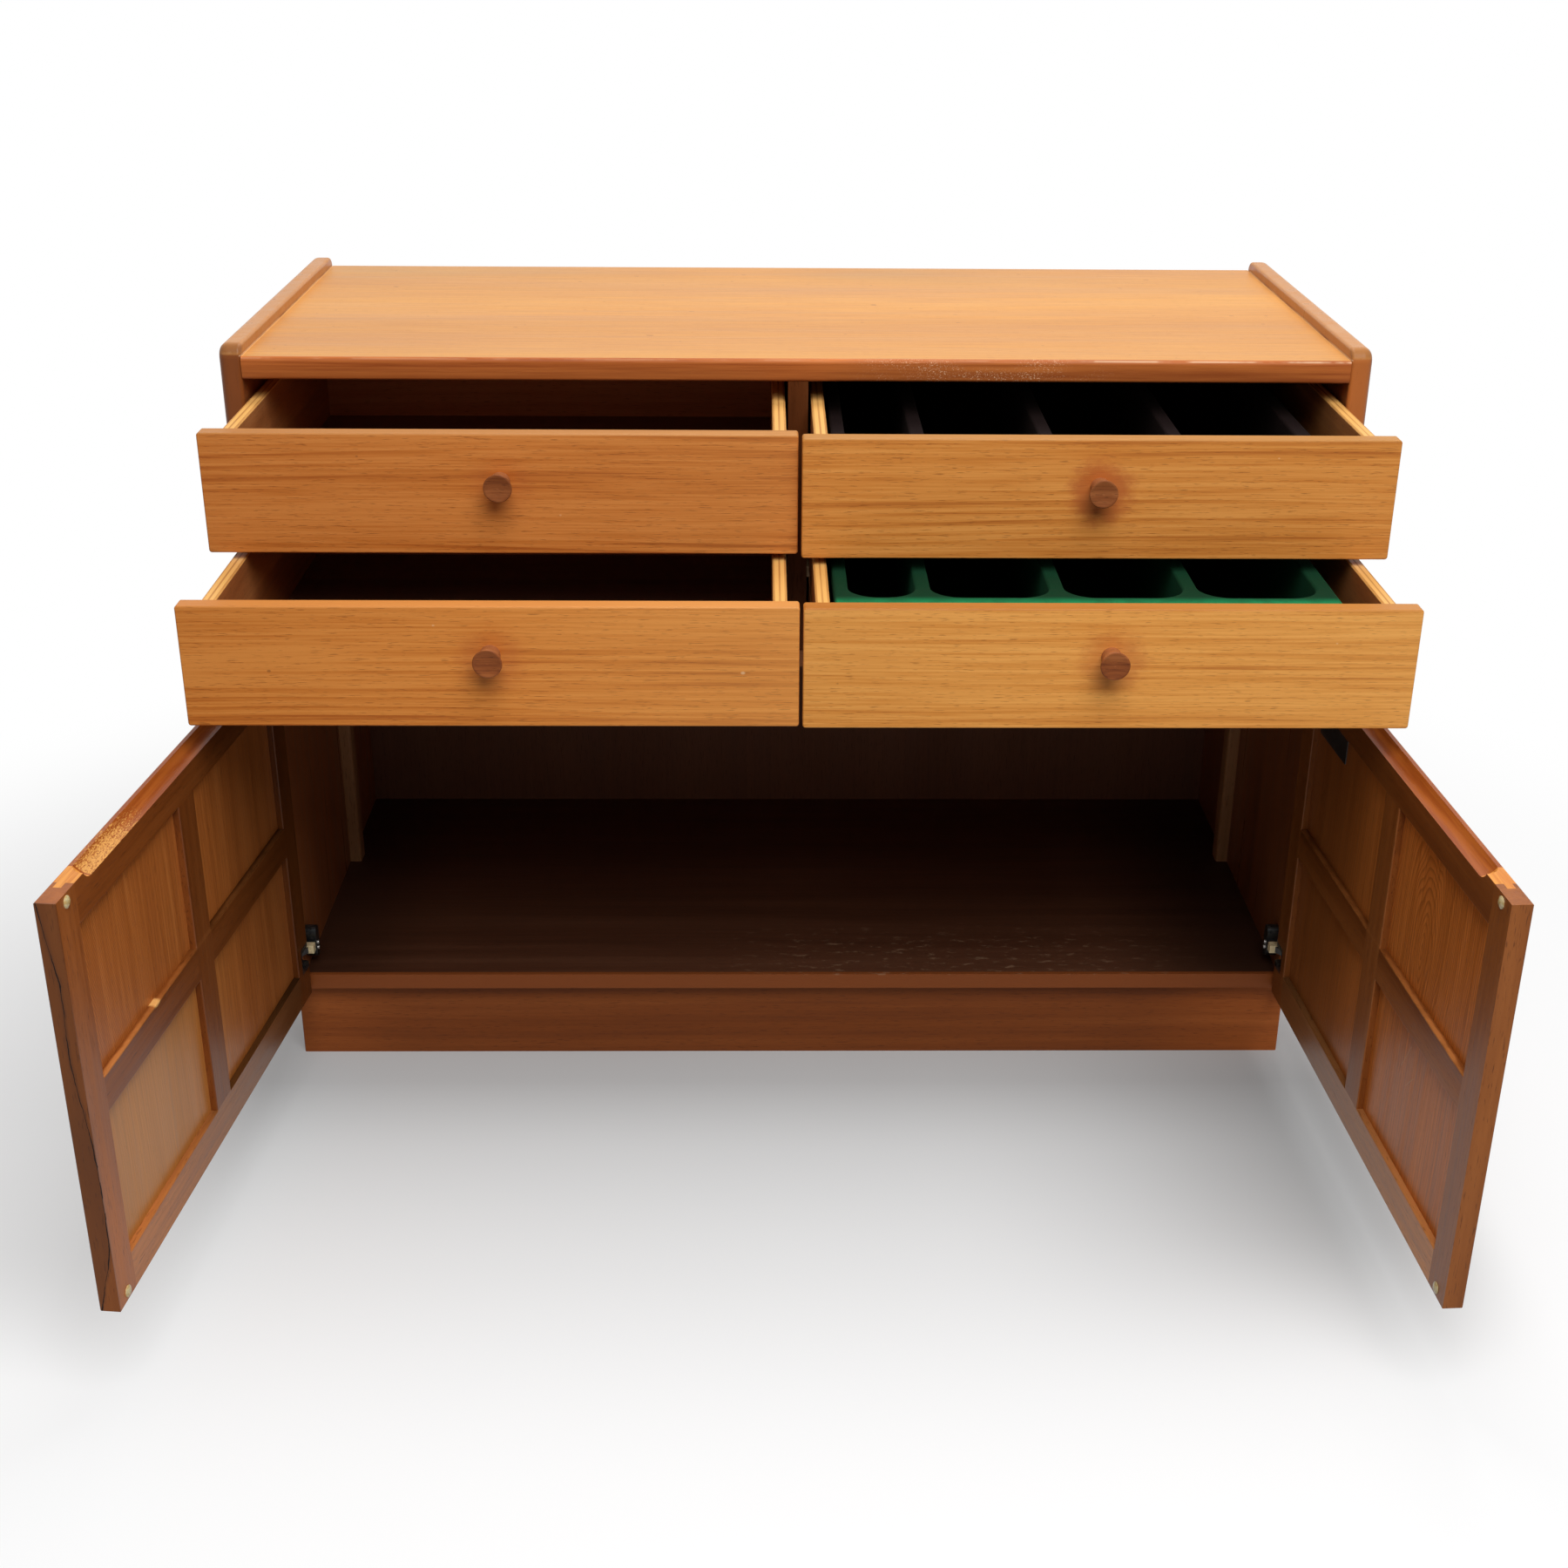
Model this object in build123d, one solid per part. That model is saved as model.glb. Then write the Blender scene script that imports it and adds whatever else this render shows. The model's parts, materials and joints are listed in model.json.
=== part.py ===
from build123d import *
import math
import os

# A low teak sideboard: four drawers over a two-door cupboard, on a plinth.
# X runs across the front (right is +X), Y runs from the front (-Y) to the back (+Y), Z is up,
# and the origin is on the floor under the middle of the carcass. All sizes are millimetres.
# Each piece is made with its drawer shut or its door closed, and each moving group is then
# brought to its resting place: drawers pulled out, doors swung open.

# ---------------------------------------------------------------- carcass
WIDTH = 1027.0            # across the two end panels
DEPTH = 436.0             # front edge to back edge of the end panels
HEIGHT = 736.0            # floor to the top of the raised ends
END_RISE = 10.5           # how far the end panels stand above the top
END_T = 20.0              # end panel thickness
TOP_T = 20.0              # top panel thickness
FLOOR_T = 16.0            # cupboard floor thickness
DECK_T = 16.0             # shelf between the drawers and the cupboard
DECK_GAP = 22.0           # that shelf below the lower drawer fronts
DIVIDER_T = 18.0          # upright between the drawers
DIVIDER_SETBACK = 1.0     # its front edge behind the carcass front
BACK_T = 4.0              # back board thickness
BACK_INSET = 8.0          # back board's rear face from the rear edge of the ends
REBATE_W = 8.0            # how far the back board's rebate cuts into each end panel
BACK_CLEARANCE = 0.3      # back board to the rebate, each end
END_CORNER_R = 12.0       # end panel's upper corners, seen from the side
END_OUTER_R = 8.0         # its outer edges
END_INNER_R = 3.0         # its inner edges
TOP_NOSE_R = 4.0          # top panel's front upper edge
TOP_UNDER_R = 2.5         # top panel's front lower edge

# ---------------------------------------------------------------- plinth
PLINTH_H = 84.0
PLINTH_T = 18.0
PLINTH_FRONT_SETBACK = 15.0
PLINTH_BACK_SETBACK = 12.0
PLINTH_SIDE_SETBACK = 8.0
PLINTH_EDGE_R = 2.0

# ---------------------------------------------------------------- shelf bearers
BEARER_T = 12.5           # out from the end panel
BEARER_W = 22.0           # front to back
BEARER_SETBACK = 256.0    # its front face behind the carcass front
BEARER_R = 3.0

# ---------------------------------------------------------------- fronts (drawers and doors)
FRONT_EDGE_IN = 5.0       # drawer fronts and doors end this far inside the end panels
FRONT_GAP = 3.0           # between a left and a right front
DRAWER_FRONT_H = 105.0
DRAWER_FRONT_T = 16.5
FRONT_TOP_GAP = 18.0      # upper drawer fronts below the underside of the top
ROW_GAP = 5.5             # between the upper and the lower drawer fronts
FRONT_CORNER_R = 2.5
FRONT_FACE_R = 1.5
FRONT_BACK_R = 0.8

# ---------------------------------------------------------------- drawer boxes
BOX_SIDE_T = 12.0
BOX_SIDE_H = 98.0
BOX_SIDE_DROP = 1.0       # side's top edge below the front's top edge
BOX_SIDE_EDGE_R = 1.5
BOX_CLEARANCE = 2.5       # side to the carcass panel beside it
BOX_BACK_GAP = 26.0       # shut drawer to the back board
BOX_BACK_T = 12.0
BOX_BACK_DROP = 8.0       # back's top edge below the sides' top edge
BOTTOM_BOARD_T = 4.0
BOTTOM_BOARD_RAISE = 8.0  # its underside above the sides' lower edge
GROOVE_DEPTH = 5.0        # for the bottom board, in the sides and the front
GROOVE_CLEARANCE = 0.1

RUNNER_H = 10.4
RUNNER_BITE = 6.0         # depth of the runner groove in a drawer side
RUNNER_SIDE_CLEARANCE = 0.7
RUNNER_CLEARANCE = 0.3    # above and below the runner
RUNNER_FRONT = 12.0       # runner's front end behind the carcass front
RUNNER_BACK_GAP = 24.0    # its rear end to the back board
RUNNER_GROOVE_FRONT = 8.0
RUNNER_BELOW_TOP = 52.0   # runner's centre below the drawer side's top edge
RUNNER_SCREW_INSET = 45.0

KNOB_R = 12.2             # face of the knob
KNOB_NECK_R = 8.5         # foot of the knob
KNOB_LENGTH = 22.0
KNOB_WAIST_R = 9.4        # part of the way along it
KNOB_WAIST_AT = 12.1      # that place, out from the drawer front
KNOB_EDGE_R = 0.8
KNOB_DISH = 1.2           # depth of the hollow in its face
KNOB_BELOW_TOP = 41.2
KNOB_SCREW_R = 2.0
KNOB_SCREW_BITE = 13.0
KNOB_SCREW_HEAD_R = 4.2
KNOB_SCREW_HEAD_T = 2.4
SCREW_CLEARANCE = 0.1

# ---------------------------------------------------------------- flocked trays
TRAY_UPPER_H = 71.0
TRAY_LOWER_H = 80.0
TRAY_SKIN = 2.0
TRAY_LIP_H = 14.0         # outer skirt of the tray
TRAY_SIDE_GAP = 4.8       # to the drawer side nearer the middle of the cabinet
TRAY_FRONT_GAP = 8.0      # to the drawer front
TRAY_BACK_GAP = 12.0      # to the drawer back
TRAY_OUTER_GAP = 26.7     # to the other drawer side
TRAY_NARROW_POCKET = 57.0 # width of the pocket nearest the middle of the cabinet
TRAY_WIDE_POCKETS = 3     # how many equal pockets share the rest
TRAY_WEB = 13.0
TRAY_INNER_RIM = 12.0
TRAY_OUTER_RIM = 14.5
TRAY_FRONT_RIM = 26.0
TRAY_BACK_RIM = 22.0
TRAY_CORNER_R = 9.0
POCKET_CORNER_R = 26.0
POCKET_MOUTH_R = 2.5
POCKET_FLOOR_R = 6.0

# ---------------------------------------------------------------- doors
DOOR_T = 17.0
DOOR_GAP = 2.5            # closed door's back face to the carcass front
DOOR_ABOVE_PLINTH = 0.5   # its bottom edge above the plinth
DOOR_BELOW_DECK = 2.5     # its top edge below the upper face of the shelf over it
STILE_W = 33.5
RAIL_W = 33.5
MULLION_W = 35.0
MUNTIN_W = 31.0
PANEL_T = 5.0
PANEL_RECESS = 6.0        # panel below the frame, on the door's inner face
PANEL_BITE = 5.5          # panel edge inside its groove
PANEL_PLAY = 0.5          # panel edge to the bottom of the groove
PANEL_FACE_PLAY = 0.1
OPENING_EDGE_R = 1.2
DOOR_EDGE_R = 1.5
DOOR_HINGE_EDGE_R = 4.0   # back edge at the hinge end, rounded so that it turns clear
TENON_L = 8.0
TENON_T = 6.5
TENON_FROM_FRONT = 4.0
COVE_R = 16.0             # scooped finger pull along the top edge
COVE_BEYOND_BACK = 1.0    # its centre behind the door's inner face
COVE_ABOVE_TOP = 8.5      # its centre above the door's top edge
COVE_END_INSET = 63.5     # centre of its round end, from each end of the door
BUMPER_R = 5.0
BUMPER_H = 2.2
BUMPER_RIM_H = 0.6        # height of its upright rim, below the dome
BUMPER_INSET = 17.5       # from the free edge
BUMPER_EDGE_INSET = 7.0   # from the top and bottom edges

# ---------------------------------------------------------------- hinges
PIVOT_IN = 10.0           # pin axis inside the door's hinge edge
PIVOT_FROM_CARCASS = 14.0 # pin axis in front of the carcass
PIN_R = 1.5
PIN_CLEARANCE = 0.05
EYE_R = 3.6
EYE_CLEARANCE = 0.4       # turning eye and strap to the cup
EYE_HALF_H = 8.0
EYE_END_PLAY = 1.0        # eye to the cup, above and below
CUP_HALF_H = 14.0
CUP_WIDTH = 23.0          # from the door's hinge edge
CUP_WALL = 0.6            # cup in front of the turning eye
PIN_END_BITE = 1.0        # pin ends inside the cup
STRAP_T = 2.6
STRAP_HALF_H = 3.2
STRAP_SEAT_IN = 6.5       # strap meets the arm this far inside the end panel's inner face
STRAP_SEAT_BACK = 2.0     # and this far behind the carcass front
ARM_HEAD_BACK = 20.5      # middle of the arm's upright head, behind the carcass front
ARM_HEAD_W = 13.0
ARM_HEAD_HALF_H = 17.0
ARM_HEAD_T = 11.5
ARM_SCREW_DROP = 5.0      # middle of the two screws below the middle of the head
ARM_SCREW_PITCH = 6.0
ARM_SCREW_R = 1.2
ARM_SCREW_HEAD_R = 2.2
ARM_SCREW_HEAD_T = 1.2
ARM_SCREW_BITE = 10.0
SLEEVE_IN = 1.2           # nylon sleeve to the end panel's inner face
SLEEVE_W = 10.3
SLEEVE_AHEAD = 0.8        # its front face in front of the carcass
SLEEVE_L = 9.0
SLEEVE_HALF_H = 4.3
SLEEVE_R = 0.8
HINGE_FROM_END = 44.0     # hinge centre from the door's top and bottom edges
DOOR_SWEEP = 105.0        # widest opening of a door, degrees
SWEEP_REACH = 40.0        # the cup is cut clear this far from the pin

# ---------------------------------------------------------------- fasteners
WOOD_SCREW_R = 1.7
WOOD_SCREW_HEAD_R = 3.4
WOOD_SCREW_BITE = 9.0
DIVIDER_SCREW_BITE = 6.0  # shorter screws, as they meet back to back in the divider
PIN_NAIL_R = 0.8
PIN_NAIL_HEAD_R = 1.9
PIN_NAIL_HEAD_T = 0.8
PIN_NAIL_BITE = 9.0
PIN_NAIL_COUNT = 8
HOLE_CLEARANCE = 0.05
OVERRUN = 1.0             # cutters run this far past the face that they cut

# ---------------------------------------------------------------- resting places
PULL_UPPER_LEFT = 99.3    # how far each drawer is pulled out
PULL_UPPER_RIGHT = 110.5
PULL_LOWER_LEFT = 221.5
PULL_LOWER_RIGHT = 224.5
SWING_LEFT = 95.9         # how far each door is open, degrees
SWING_RIGHT = 92.7

# ---------------------------------------------------------------- worked out from the above
FRONT_Y = -DEPTH / 2
REAR_Y = DEPTH / 2
BACK_BOARD_Y = REAR_Y - BACK_INSET - BACK_T      # front face of the back board
INSIDE_X = WIDTH / 2 - END_T
TOP_Z = HEIGHT - END_RISE
TOP_UNDER_Z = TOP_Z - TOP_T
FLOOR_TOP_Z = PLINTH_H + FLOOR_T
FRONT_OUT_X = WIDTH / 2 - FRONT_EDGE_IN
FRONT_IN_X = FRONT_GAP / 2
UPPER_FRONT_TOP_Z = TOP_UNDER_Z - FRONT_TOP_GAP
LOWER_FRONT_TOP_Z = UPPER_FRONT_TOP_Z - DRAWER_FRONT_H - ROW_GAP
DECK_TOP_Z = LOWER_FRONT_TOP_Z - DRAWER_FRONT_H - DECK_GAP
DECK_Z = DECK_TOP_Z - DECK_T
BOX_LENGTH = BACK_BOARD_Y - FRONT_Y - BOX_BACK_GAP
RUNNER_LENGTH = BACK_BOARD_Y - FRONT_Y - RUNNER_FRONT - RUNNER_BACK_GAP
BOX_OUT_X = INSIDE_X - BOX_CLEARANCE
BOX_IN_X = DIVIDER_T / 2 + BOX_CLEARANCE
DOOR_BACK_Y = FRONT_Y - DOOR_GAP
DOOR_FRONT_Y = DOOR_BACK_Y - DOOR_T
DOOR_BOTTOM_Z = PLINTH_H + DOOR_ABOVE_PLINTH
DOOR_TOP_Z = DECK_TOP_Z - DOOR_BELOW_DECK
PIVOT_X = FRONT_OUT_X - PIVOT_IN
PIVOT_Y = FRONT_Y - PIVOT_FROM_CARCASS
HINGE_ZS = (DOOR_BOTTOM_Z + HINGE_FROM_END, DOOR_TOP_Z - HINGE_FROM_END)

os.makedirs("parts", exist_ok=True)


def block(x, y, z):
    """A box from three (low, high) pairs."""
    sizes = [pair[1] - pair[0] for pair in (x, y, z)]
    middle = [(pair[0] + pair[1]) / 2 for pair in (x, y, z)]
    return Pos(*middle) * Box(*sizes)


def rod(radius, start, end):
    """A round bar from start to end, two points on a line along X, Y or Z."""
    run = Vector(*end) - Vector(*start)
    plane = Plane(origin=start, z_dir=run)
    return extrude(plane * Circle(radius), run.length)


def countersunk(radius, head_radius, length, start, end):
    """A screw with a flush conical head; start is the middle of the head."""
    run = Vector(*end) - Vector(*start)
    plane = Plane(origin=start, z_dir=run)
    rise = head_radius - radius
    outline = Polyline((0, 0), (head_radius, 0), (radius, rise), (radius, length), (0, length), close=True)
    turned = revolve(Plane.XZ * make_face(outline), Axis.Z)
    return plane.location * turned


def edges_at(solid, axis, place, near=0.01):
    """The edges that lie wholly at one place along an axis."""
    pick = {Axis.X: lambda box: (box.min.X, box.max.X), Axis.Y: lambda box: (box.min.Y, box.max.Y),
            Axis.Z: lambda box: (box.min.Z, box.max.Z)}[axis]
    found = []
    for edge in solid.edges():
        low, high = pick(edge.bounding_box())
        if abs(low - place) < near and abs(high - place) < near:
            found.append(edge)
    return ShapeList(found)


def both_sides(solid):
    """The solid and its mirror image across the middle of the cabinet."""
    return [solid, solid.mirror(Plane.YZ)]


def save(node, *solids):
    """Write one node: one solid, or several separate ones."""
    flat = []
    for item in solids:
        flat.extend(item.solids())
    shape = flat[0] if len(flat) == 1 else Compound(children=flat)
    shape.label = node
    export_step(shape, f"parts/{node}.step")


# ================================================================ carcass
def end_panel():
    """The right end panel: rounded edges, rebated for the back board."""
    x = (INSIDE_X, WIDTH / 2)
    panel = block(x, (FRONT_Y, REAR_Y), (PLINTH_H, HEIGHT))
    panel = fillet(edges_at(panel, Axis.Z, HEIGHT).filter_by(Axis.X), END_CORNER_R)
    outline = [edge for edge in edges_at(panel, Axis.X, x[1]) if edge.center().Z > PLINTH_H + OVERRUN]
    panel = fillet(outline, END_OUTER_R)
    outline = [edge for edge in edges_at(panel, Axis.X, x[0]) if edge.center().Z > PLINTH_H + OVERRUN]
    panel = fillet(outline, END_INNER_R)
    rebate = block((x[0] - REBATE_W, x[0] + REBATE_W), (BACK_BOARD_Y, REAR_Y + OVERRUN), (0, TOP_UNDER_Z))
    panel -= rebate
    for tool in runner_screw_tools(INSIDE_X, 1) + arm_screw_tools():
        panel -= tool
    return panel


def top_panel():
    top = block((-INSIDE_X, INSIDE_X), (FRONT_Y, REAR_Y), (TOP_UNDER_Z, TOP_Z))
    front = edges_at(top, Axis.Y, FRONT_Y).filter_by(Axis.X).sort_by(Axis.Z)
    top = fillet(front[-1], TOP_NOSE_R)
    lower = edges_at(top, Axis.Z, TOP_UNDER_Z).filter_by(Axis.X).sort_by(Axis.Y)
    return fillet(lower[0], TOP_UNDER_R)


def floor_panel():
    panel = block((-INSIDE_X, INSIDE_X), (FRONT_Y, BACK_BOARD_Y), (PLINTH_H, FLOOR_TOP_Z))
    for x in nail_places():
        panel -= nail_shank(x, PLINTH_H + FLOOR_T / 2, HOLE_CLEARANCE)
    return panel


def deck():
    panel = block((-INSIDE_X, INSIDE_X), (FRONT_Y, BACK_BOARD_Y), (DECK_Z, DECK_TOP_Z))
    for x in nail_places():
        panel -= nail_shank(x, DECK_Z + DECK_T / 2, HOLE_CLEARANCE)
    return panel


def divider():
    half = DIVIDER_T / 2
    panel = block((-half, half), (FRONT_Y + DIVIDER_SETBACK, BACK_BOARD_Y), (DECK_TOP_Z, TOP_UNDER_Z))
    for tool in runner_screw_tools(half, 1) + runner_screw_tools(half, -1):
        panel -= tool
    return panel


def back_board():
    half = INSIDE_X + REBATE_W - BACK_CLEARANCE
    board = block((-half, half), (BACK_BOARD_Y, BACK_BOARD_Y + BACK_T), (PLINTH_H, TOP_UNDER_Z))
    for x, z in nail_rows():
        board -= nail_shank(x, z, HOLE_CLEARANCE)
    return board


def nail_places():
    """Evenly spaced along a row, clear of both ends and of the upright divider."""
    pitch = 2 * INSIDE_X / PIN_NAIL_COUNT
    return [-INSIDE_X + pitch * (index + 0.5) for index in range(PIN_NAIL_COUNT)]


def nail_rows():
    return [(x, z) for z in (PLINTH_H + FLOOR_T / 2, DECK_Z + DECK_T / 2) for x in nail_places()]


def nail_shank(x, z, extra=0.0):
    rear = BACK_BOARD_Y + BACK_T
    return rod(PIN_NAIL_R + extra, (x, rear, z), (x, rear - BACK_T - PIN_NAIL_BITE, z))


def back_nails():
    rear = BACK_BOARD_Y + BACK_T
    nails = []
    for x, z in nail_rows():
        head = rod(PIN_NAIL_HEAD_R, (x, rear, z), (x, rear + PIN_NAIL_HEAD_T, z))
        nails.append(nail_shank(x, z) + head)
    return nails


def shelf_bearer():
    """The right-hand bearer, an upright strip with rounded inner edges."""
    front = FRONT_Y + BEARER_SETBACK
    strip = block((INSIDE_X - BEARER_T, INSIDE_X), (front, front + BEARER_W), (FLOOR_TOP_Z, DECK_Z))
    inner = edges_at(strip, Axis.X, INSIDE_X - BEARER_T).filter_by(Axis.Z)
    return fillet(inner, BEARER_R)


def plinth():
    """The five boards of the plinth: front, back, two ends and a middle rail."""
    half = WIDTH / 2 - PLINTH_SIDE_SETBACK
    front = FRONT_Y + PLINTH_FRONT_SETBACK
    rear = REAR_Y - PLINTH_BACK_SETBACK
    z = (0, PLINTH_H)
    front_board = block((-half, half), (front, front + PLINTH_T), z)
    corners = edges_at(front_board, Axis.Y, front).filter_by(Axis.Z)
    front_board = fillet(corners, PLINTH_EDGE_R)
    back_rail = block((-half, half), (rear - PLINTH_T, rear), z)
    between = (front + PLINTH_T, rear - PLINTH_T)
    end_board = block((half - PLINTH_T, half), between, z)
    middle_rail = block((-PLINTH_T / 2, PLINTH_T / 2), between, z)
    return front_board, back_rail, both_sides(end_board), middle_rail


# ================================================================ drawer runners
def runner_height(front_top_z):
    return front_top_z - BOX_SIDE_DROP - RUNNER_BELOW_TOP


def runner_screw_places():
    rear = RUNNER_FRONT + RUNNER_LENGTH - RUNNER_SCREW_INSET
    ys = (FRONT_Y + RUNNER_FRONT + RUNNER_SCREW_INSET, FRONT_Y + rear)
    return [(y, runner_height(top)) for top in (UPPER_FRONT_TOP_Z, LOWER_FRONT_TOP_Z) for y in ys]


def runner_reach():
    """How far a runner stands out from the panel that carries it."""
    return BOX_CLEARANCE + RUNNER_BITE - RUNNER_SIDE_CLEARANCE


def runner_screw_tools(face_x, side):
    """Pilot holes in the panel whose face is at face_x; side is +1 or -1 along X."""
    into = face_x + WOOD_SCREW_BITE if face_x == INSIDE_X else face_x - DIVIDER_SCREW_BITE
    radius = WOOD_SCREW_R + HOLE_CLEARANCE
    return [rod(radius, (side * face_x, y, z), (side * into, y, z)) for y, z in runner_screw_places()]


def runner_set(face_x, inward):
    """Runners and screws on one face; inward is the direction that the runner stands out."""
    runners, screws = [], []
    tip = face_x + inward * runner_reach()
    bite = WOOD_SCREW_BITE if face_x == INSIDE_X else DIVIDER_SCREW_BITE
    for top in (UPPER_FRONT_TOP_Z, LOWER_FRONT_TOP_Z):
        z = runner_height(top)
        y = FRONT_Y + RUNNER_FRONT
        strip = block(sorted((face_x, tip)), (y, y + RUNNER_LENGTH), (z - RUNNER_H / 2, z + RUNNER_H / 2))
        runners.append(strip)
    for y, z in runner_screw_places():
        end = (face_x - inward * bite, y, z)
        length = abs(end[0] - tip)
        screws.append(countersunk(WOOD_SCREW_R, WOOD_SCREW_HEAD_R, length, (tip, y, z), end))
        runners = [strip - countersunk(WOOD_SCREW_R + HOLE_CLEARANCE, WOOD_SCREW_HEAD_R + HOLE_CLEARANCE,
                                       length, (tip, y, z), end) for strip in runners]
    return runners, screws


# ================================================================ drawers
def drawer(side, front_top, pull):
    """One drawer. side is -1 for left and +1 for right; it is returned pulled out."""
    out = Pos(0, -pull, 0)
    x_front = sorted((side * FRONT_IN_X, side * FRONT_OUT_X))
    x_box = sorted((side * BOX_IN_X, side * BOX_OUT_X))
    middle = (x_front[0] + x_front[1]) / 2
    side_top = front_top - BOX_SIDE_DROP
    side_foot = side_top - BOX_SIDE_H
    board_z = side_foot + BOTTOM_BOARD_RAISE
    rear = FRONT_Y + BOX_LENGTH
    knob_z = front_top - KNOB_BELOW_TOP
    y_front = FRONT_Y - DRAWER_FRONT_T

    groove_z = (board_z - GROOVE_CLEARANCE, board_z + BOTTOM_BOARD_T + GROOVE_CLEARANCE)
    x_groove = (x_box[0] + BOX_SIDE_T - GROOVE_DEPTH, x_box[1] - BOX_SIDE_T + GROOVE_DEPTH)
    groove = block(x_groove, (FRONT_Y - GROOVE_DEPTH, rear + OVERRUN), groove_z)

    face = block(x_front, (y_front, FRONT_Y), (front_top - DRAWER_FRONT_H, front_top))
    face = fillet(face.edges().filter_by(Axis.Y), FRONT_CORNER_R)
    face = fillet(edges_at(face, Axis.Y, y_front), FRONT_FACE_R)
    face = fillet(edges_at(face, Axis.Y, FRONT_Y), FRONT_BACK_R)
    face -= groove
    face -= rod(KNOB_SCREW_R + SCREW_CLEARANCE, (middle, y_front - OVERRUN, knob_z),
                (middle, FRONT_Y + OVERRUN, knob_z))

    runner_z = runner_height(front_top)
    half = RUNNER_H / 2 + RUNNER_CLEARANCE
    sides = []
    for x0, x1, outer in ((x_box[0], x_box[0] + BOX_SIDE_T, x_box[0]),
                          (x_box[1] - BOX_SIDE_T, x_box[1], x_box[1])):
        board = block((x0, x1), (FRONT_Y, rear), (side_foot, side_top))
        board = fillet(edges_at(board, Axis.Z, side_top).filter_by(Axis.Y), BOX_SIDE_EDGE_R)
        track = block((outer - RUNNER_BITE, outer + RUNNER_BITE),
                      (FRONT_Y + RUNNER_GROOVE_FRONT, rear + OVERRUN), (runner_z - half, runner_z + half))
        sides.append(board - groove - track)

    x_inner = (x_box[0] + BOX_SIDE_T, x_box[1] - BOX_SIDE_T)
    back = block(x_inner, (rear - BOX_BACK_T, rear),
                 (board_z + BOTTOM_BOARD_T, side_top - BOX_BACK_DROP))

    x_board = (x_groove[0] + GROOVE_CLEARANCE, x_groove[1] - GROOVE_CLEARANCE)
    board_y = (FRONT_Y - GROOVE_DEPTH + GROOVE_CLEARANCE, rear)
    bottom = block(x_board, board_y, (board_z, board_z + BOTTOM_BOARD_T))

    knob = turned_knob(middle, y_front, knob_z)
    screw = rod(KNOB_SCREW_R, (middle, FRONT_Y, knob_z), (middle, y_front - KNOB_SCREW_BITE, knob_z))
    screw += rod(KNOB_SCREW_HEAD_R, (middle, FRONT_Y + KNOB_SCREW_HEAD_T, knob_z), (middle, FRONT_Y, knob_z))
    pieces = {"front": [face], "sides": sides, "back": [back], "bottom": [bottom],
              "knob": [knob], "knob_screw": [screw]}
    return {name: [out * solid for solid in solids] for name, solids in pieces.items()}


def turned_knob(x, y, z):
    """A knob that narrows in a hollow curve from its face to its foot."""
    waist = (KNOB_WAIST_R, KNOB_WAIST_AT)
    edge = KNOB_EDGE_R
    side = Spline((KNOB_NECK_R, 0), waist, (KNOB_R, KNOB_LENGTH - edge))
    nose = RadiusArc((KNOB_R, KNOB_LENGTH - edge), (KNOB_R - edge, KNOB_LENGTH), -edge)
    rest = Polyline((KNOB_R - edge, KNOB_LENGTH), (0, KNOB_LENGTH), (0, 0), (KNOB_NECK_R, 0))
    turned = revolve(Plane.XZ * make_face([side, nose, rest]), Axis.Z)
    rim = KNOB_R - 2 * edge
    ball_r = (rim ** 2 + KNOB_DISH ** 2) / (2 * KNOB_DISH)
    turned -= Pos(0, 0, KNOB_LENGTH + ball_r - KNOB_DISH) * Sphere(ball_r)
    knob = Plane(origin=(x, y, z), z_dir=(0, -1, 0), x_dir=(1, 0, 0)).location * turned
    hole = rod(KNOB_SCREW_R + HOLE_CLEARANCE, (x, y + OVERRUN, z),
               (x, y - KNOB_SCREW_BITE - HOLE_CLEARANCE, z))
    return knob - hole


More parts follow.
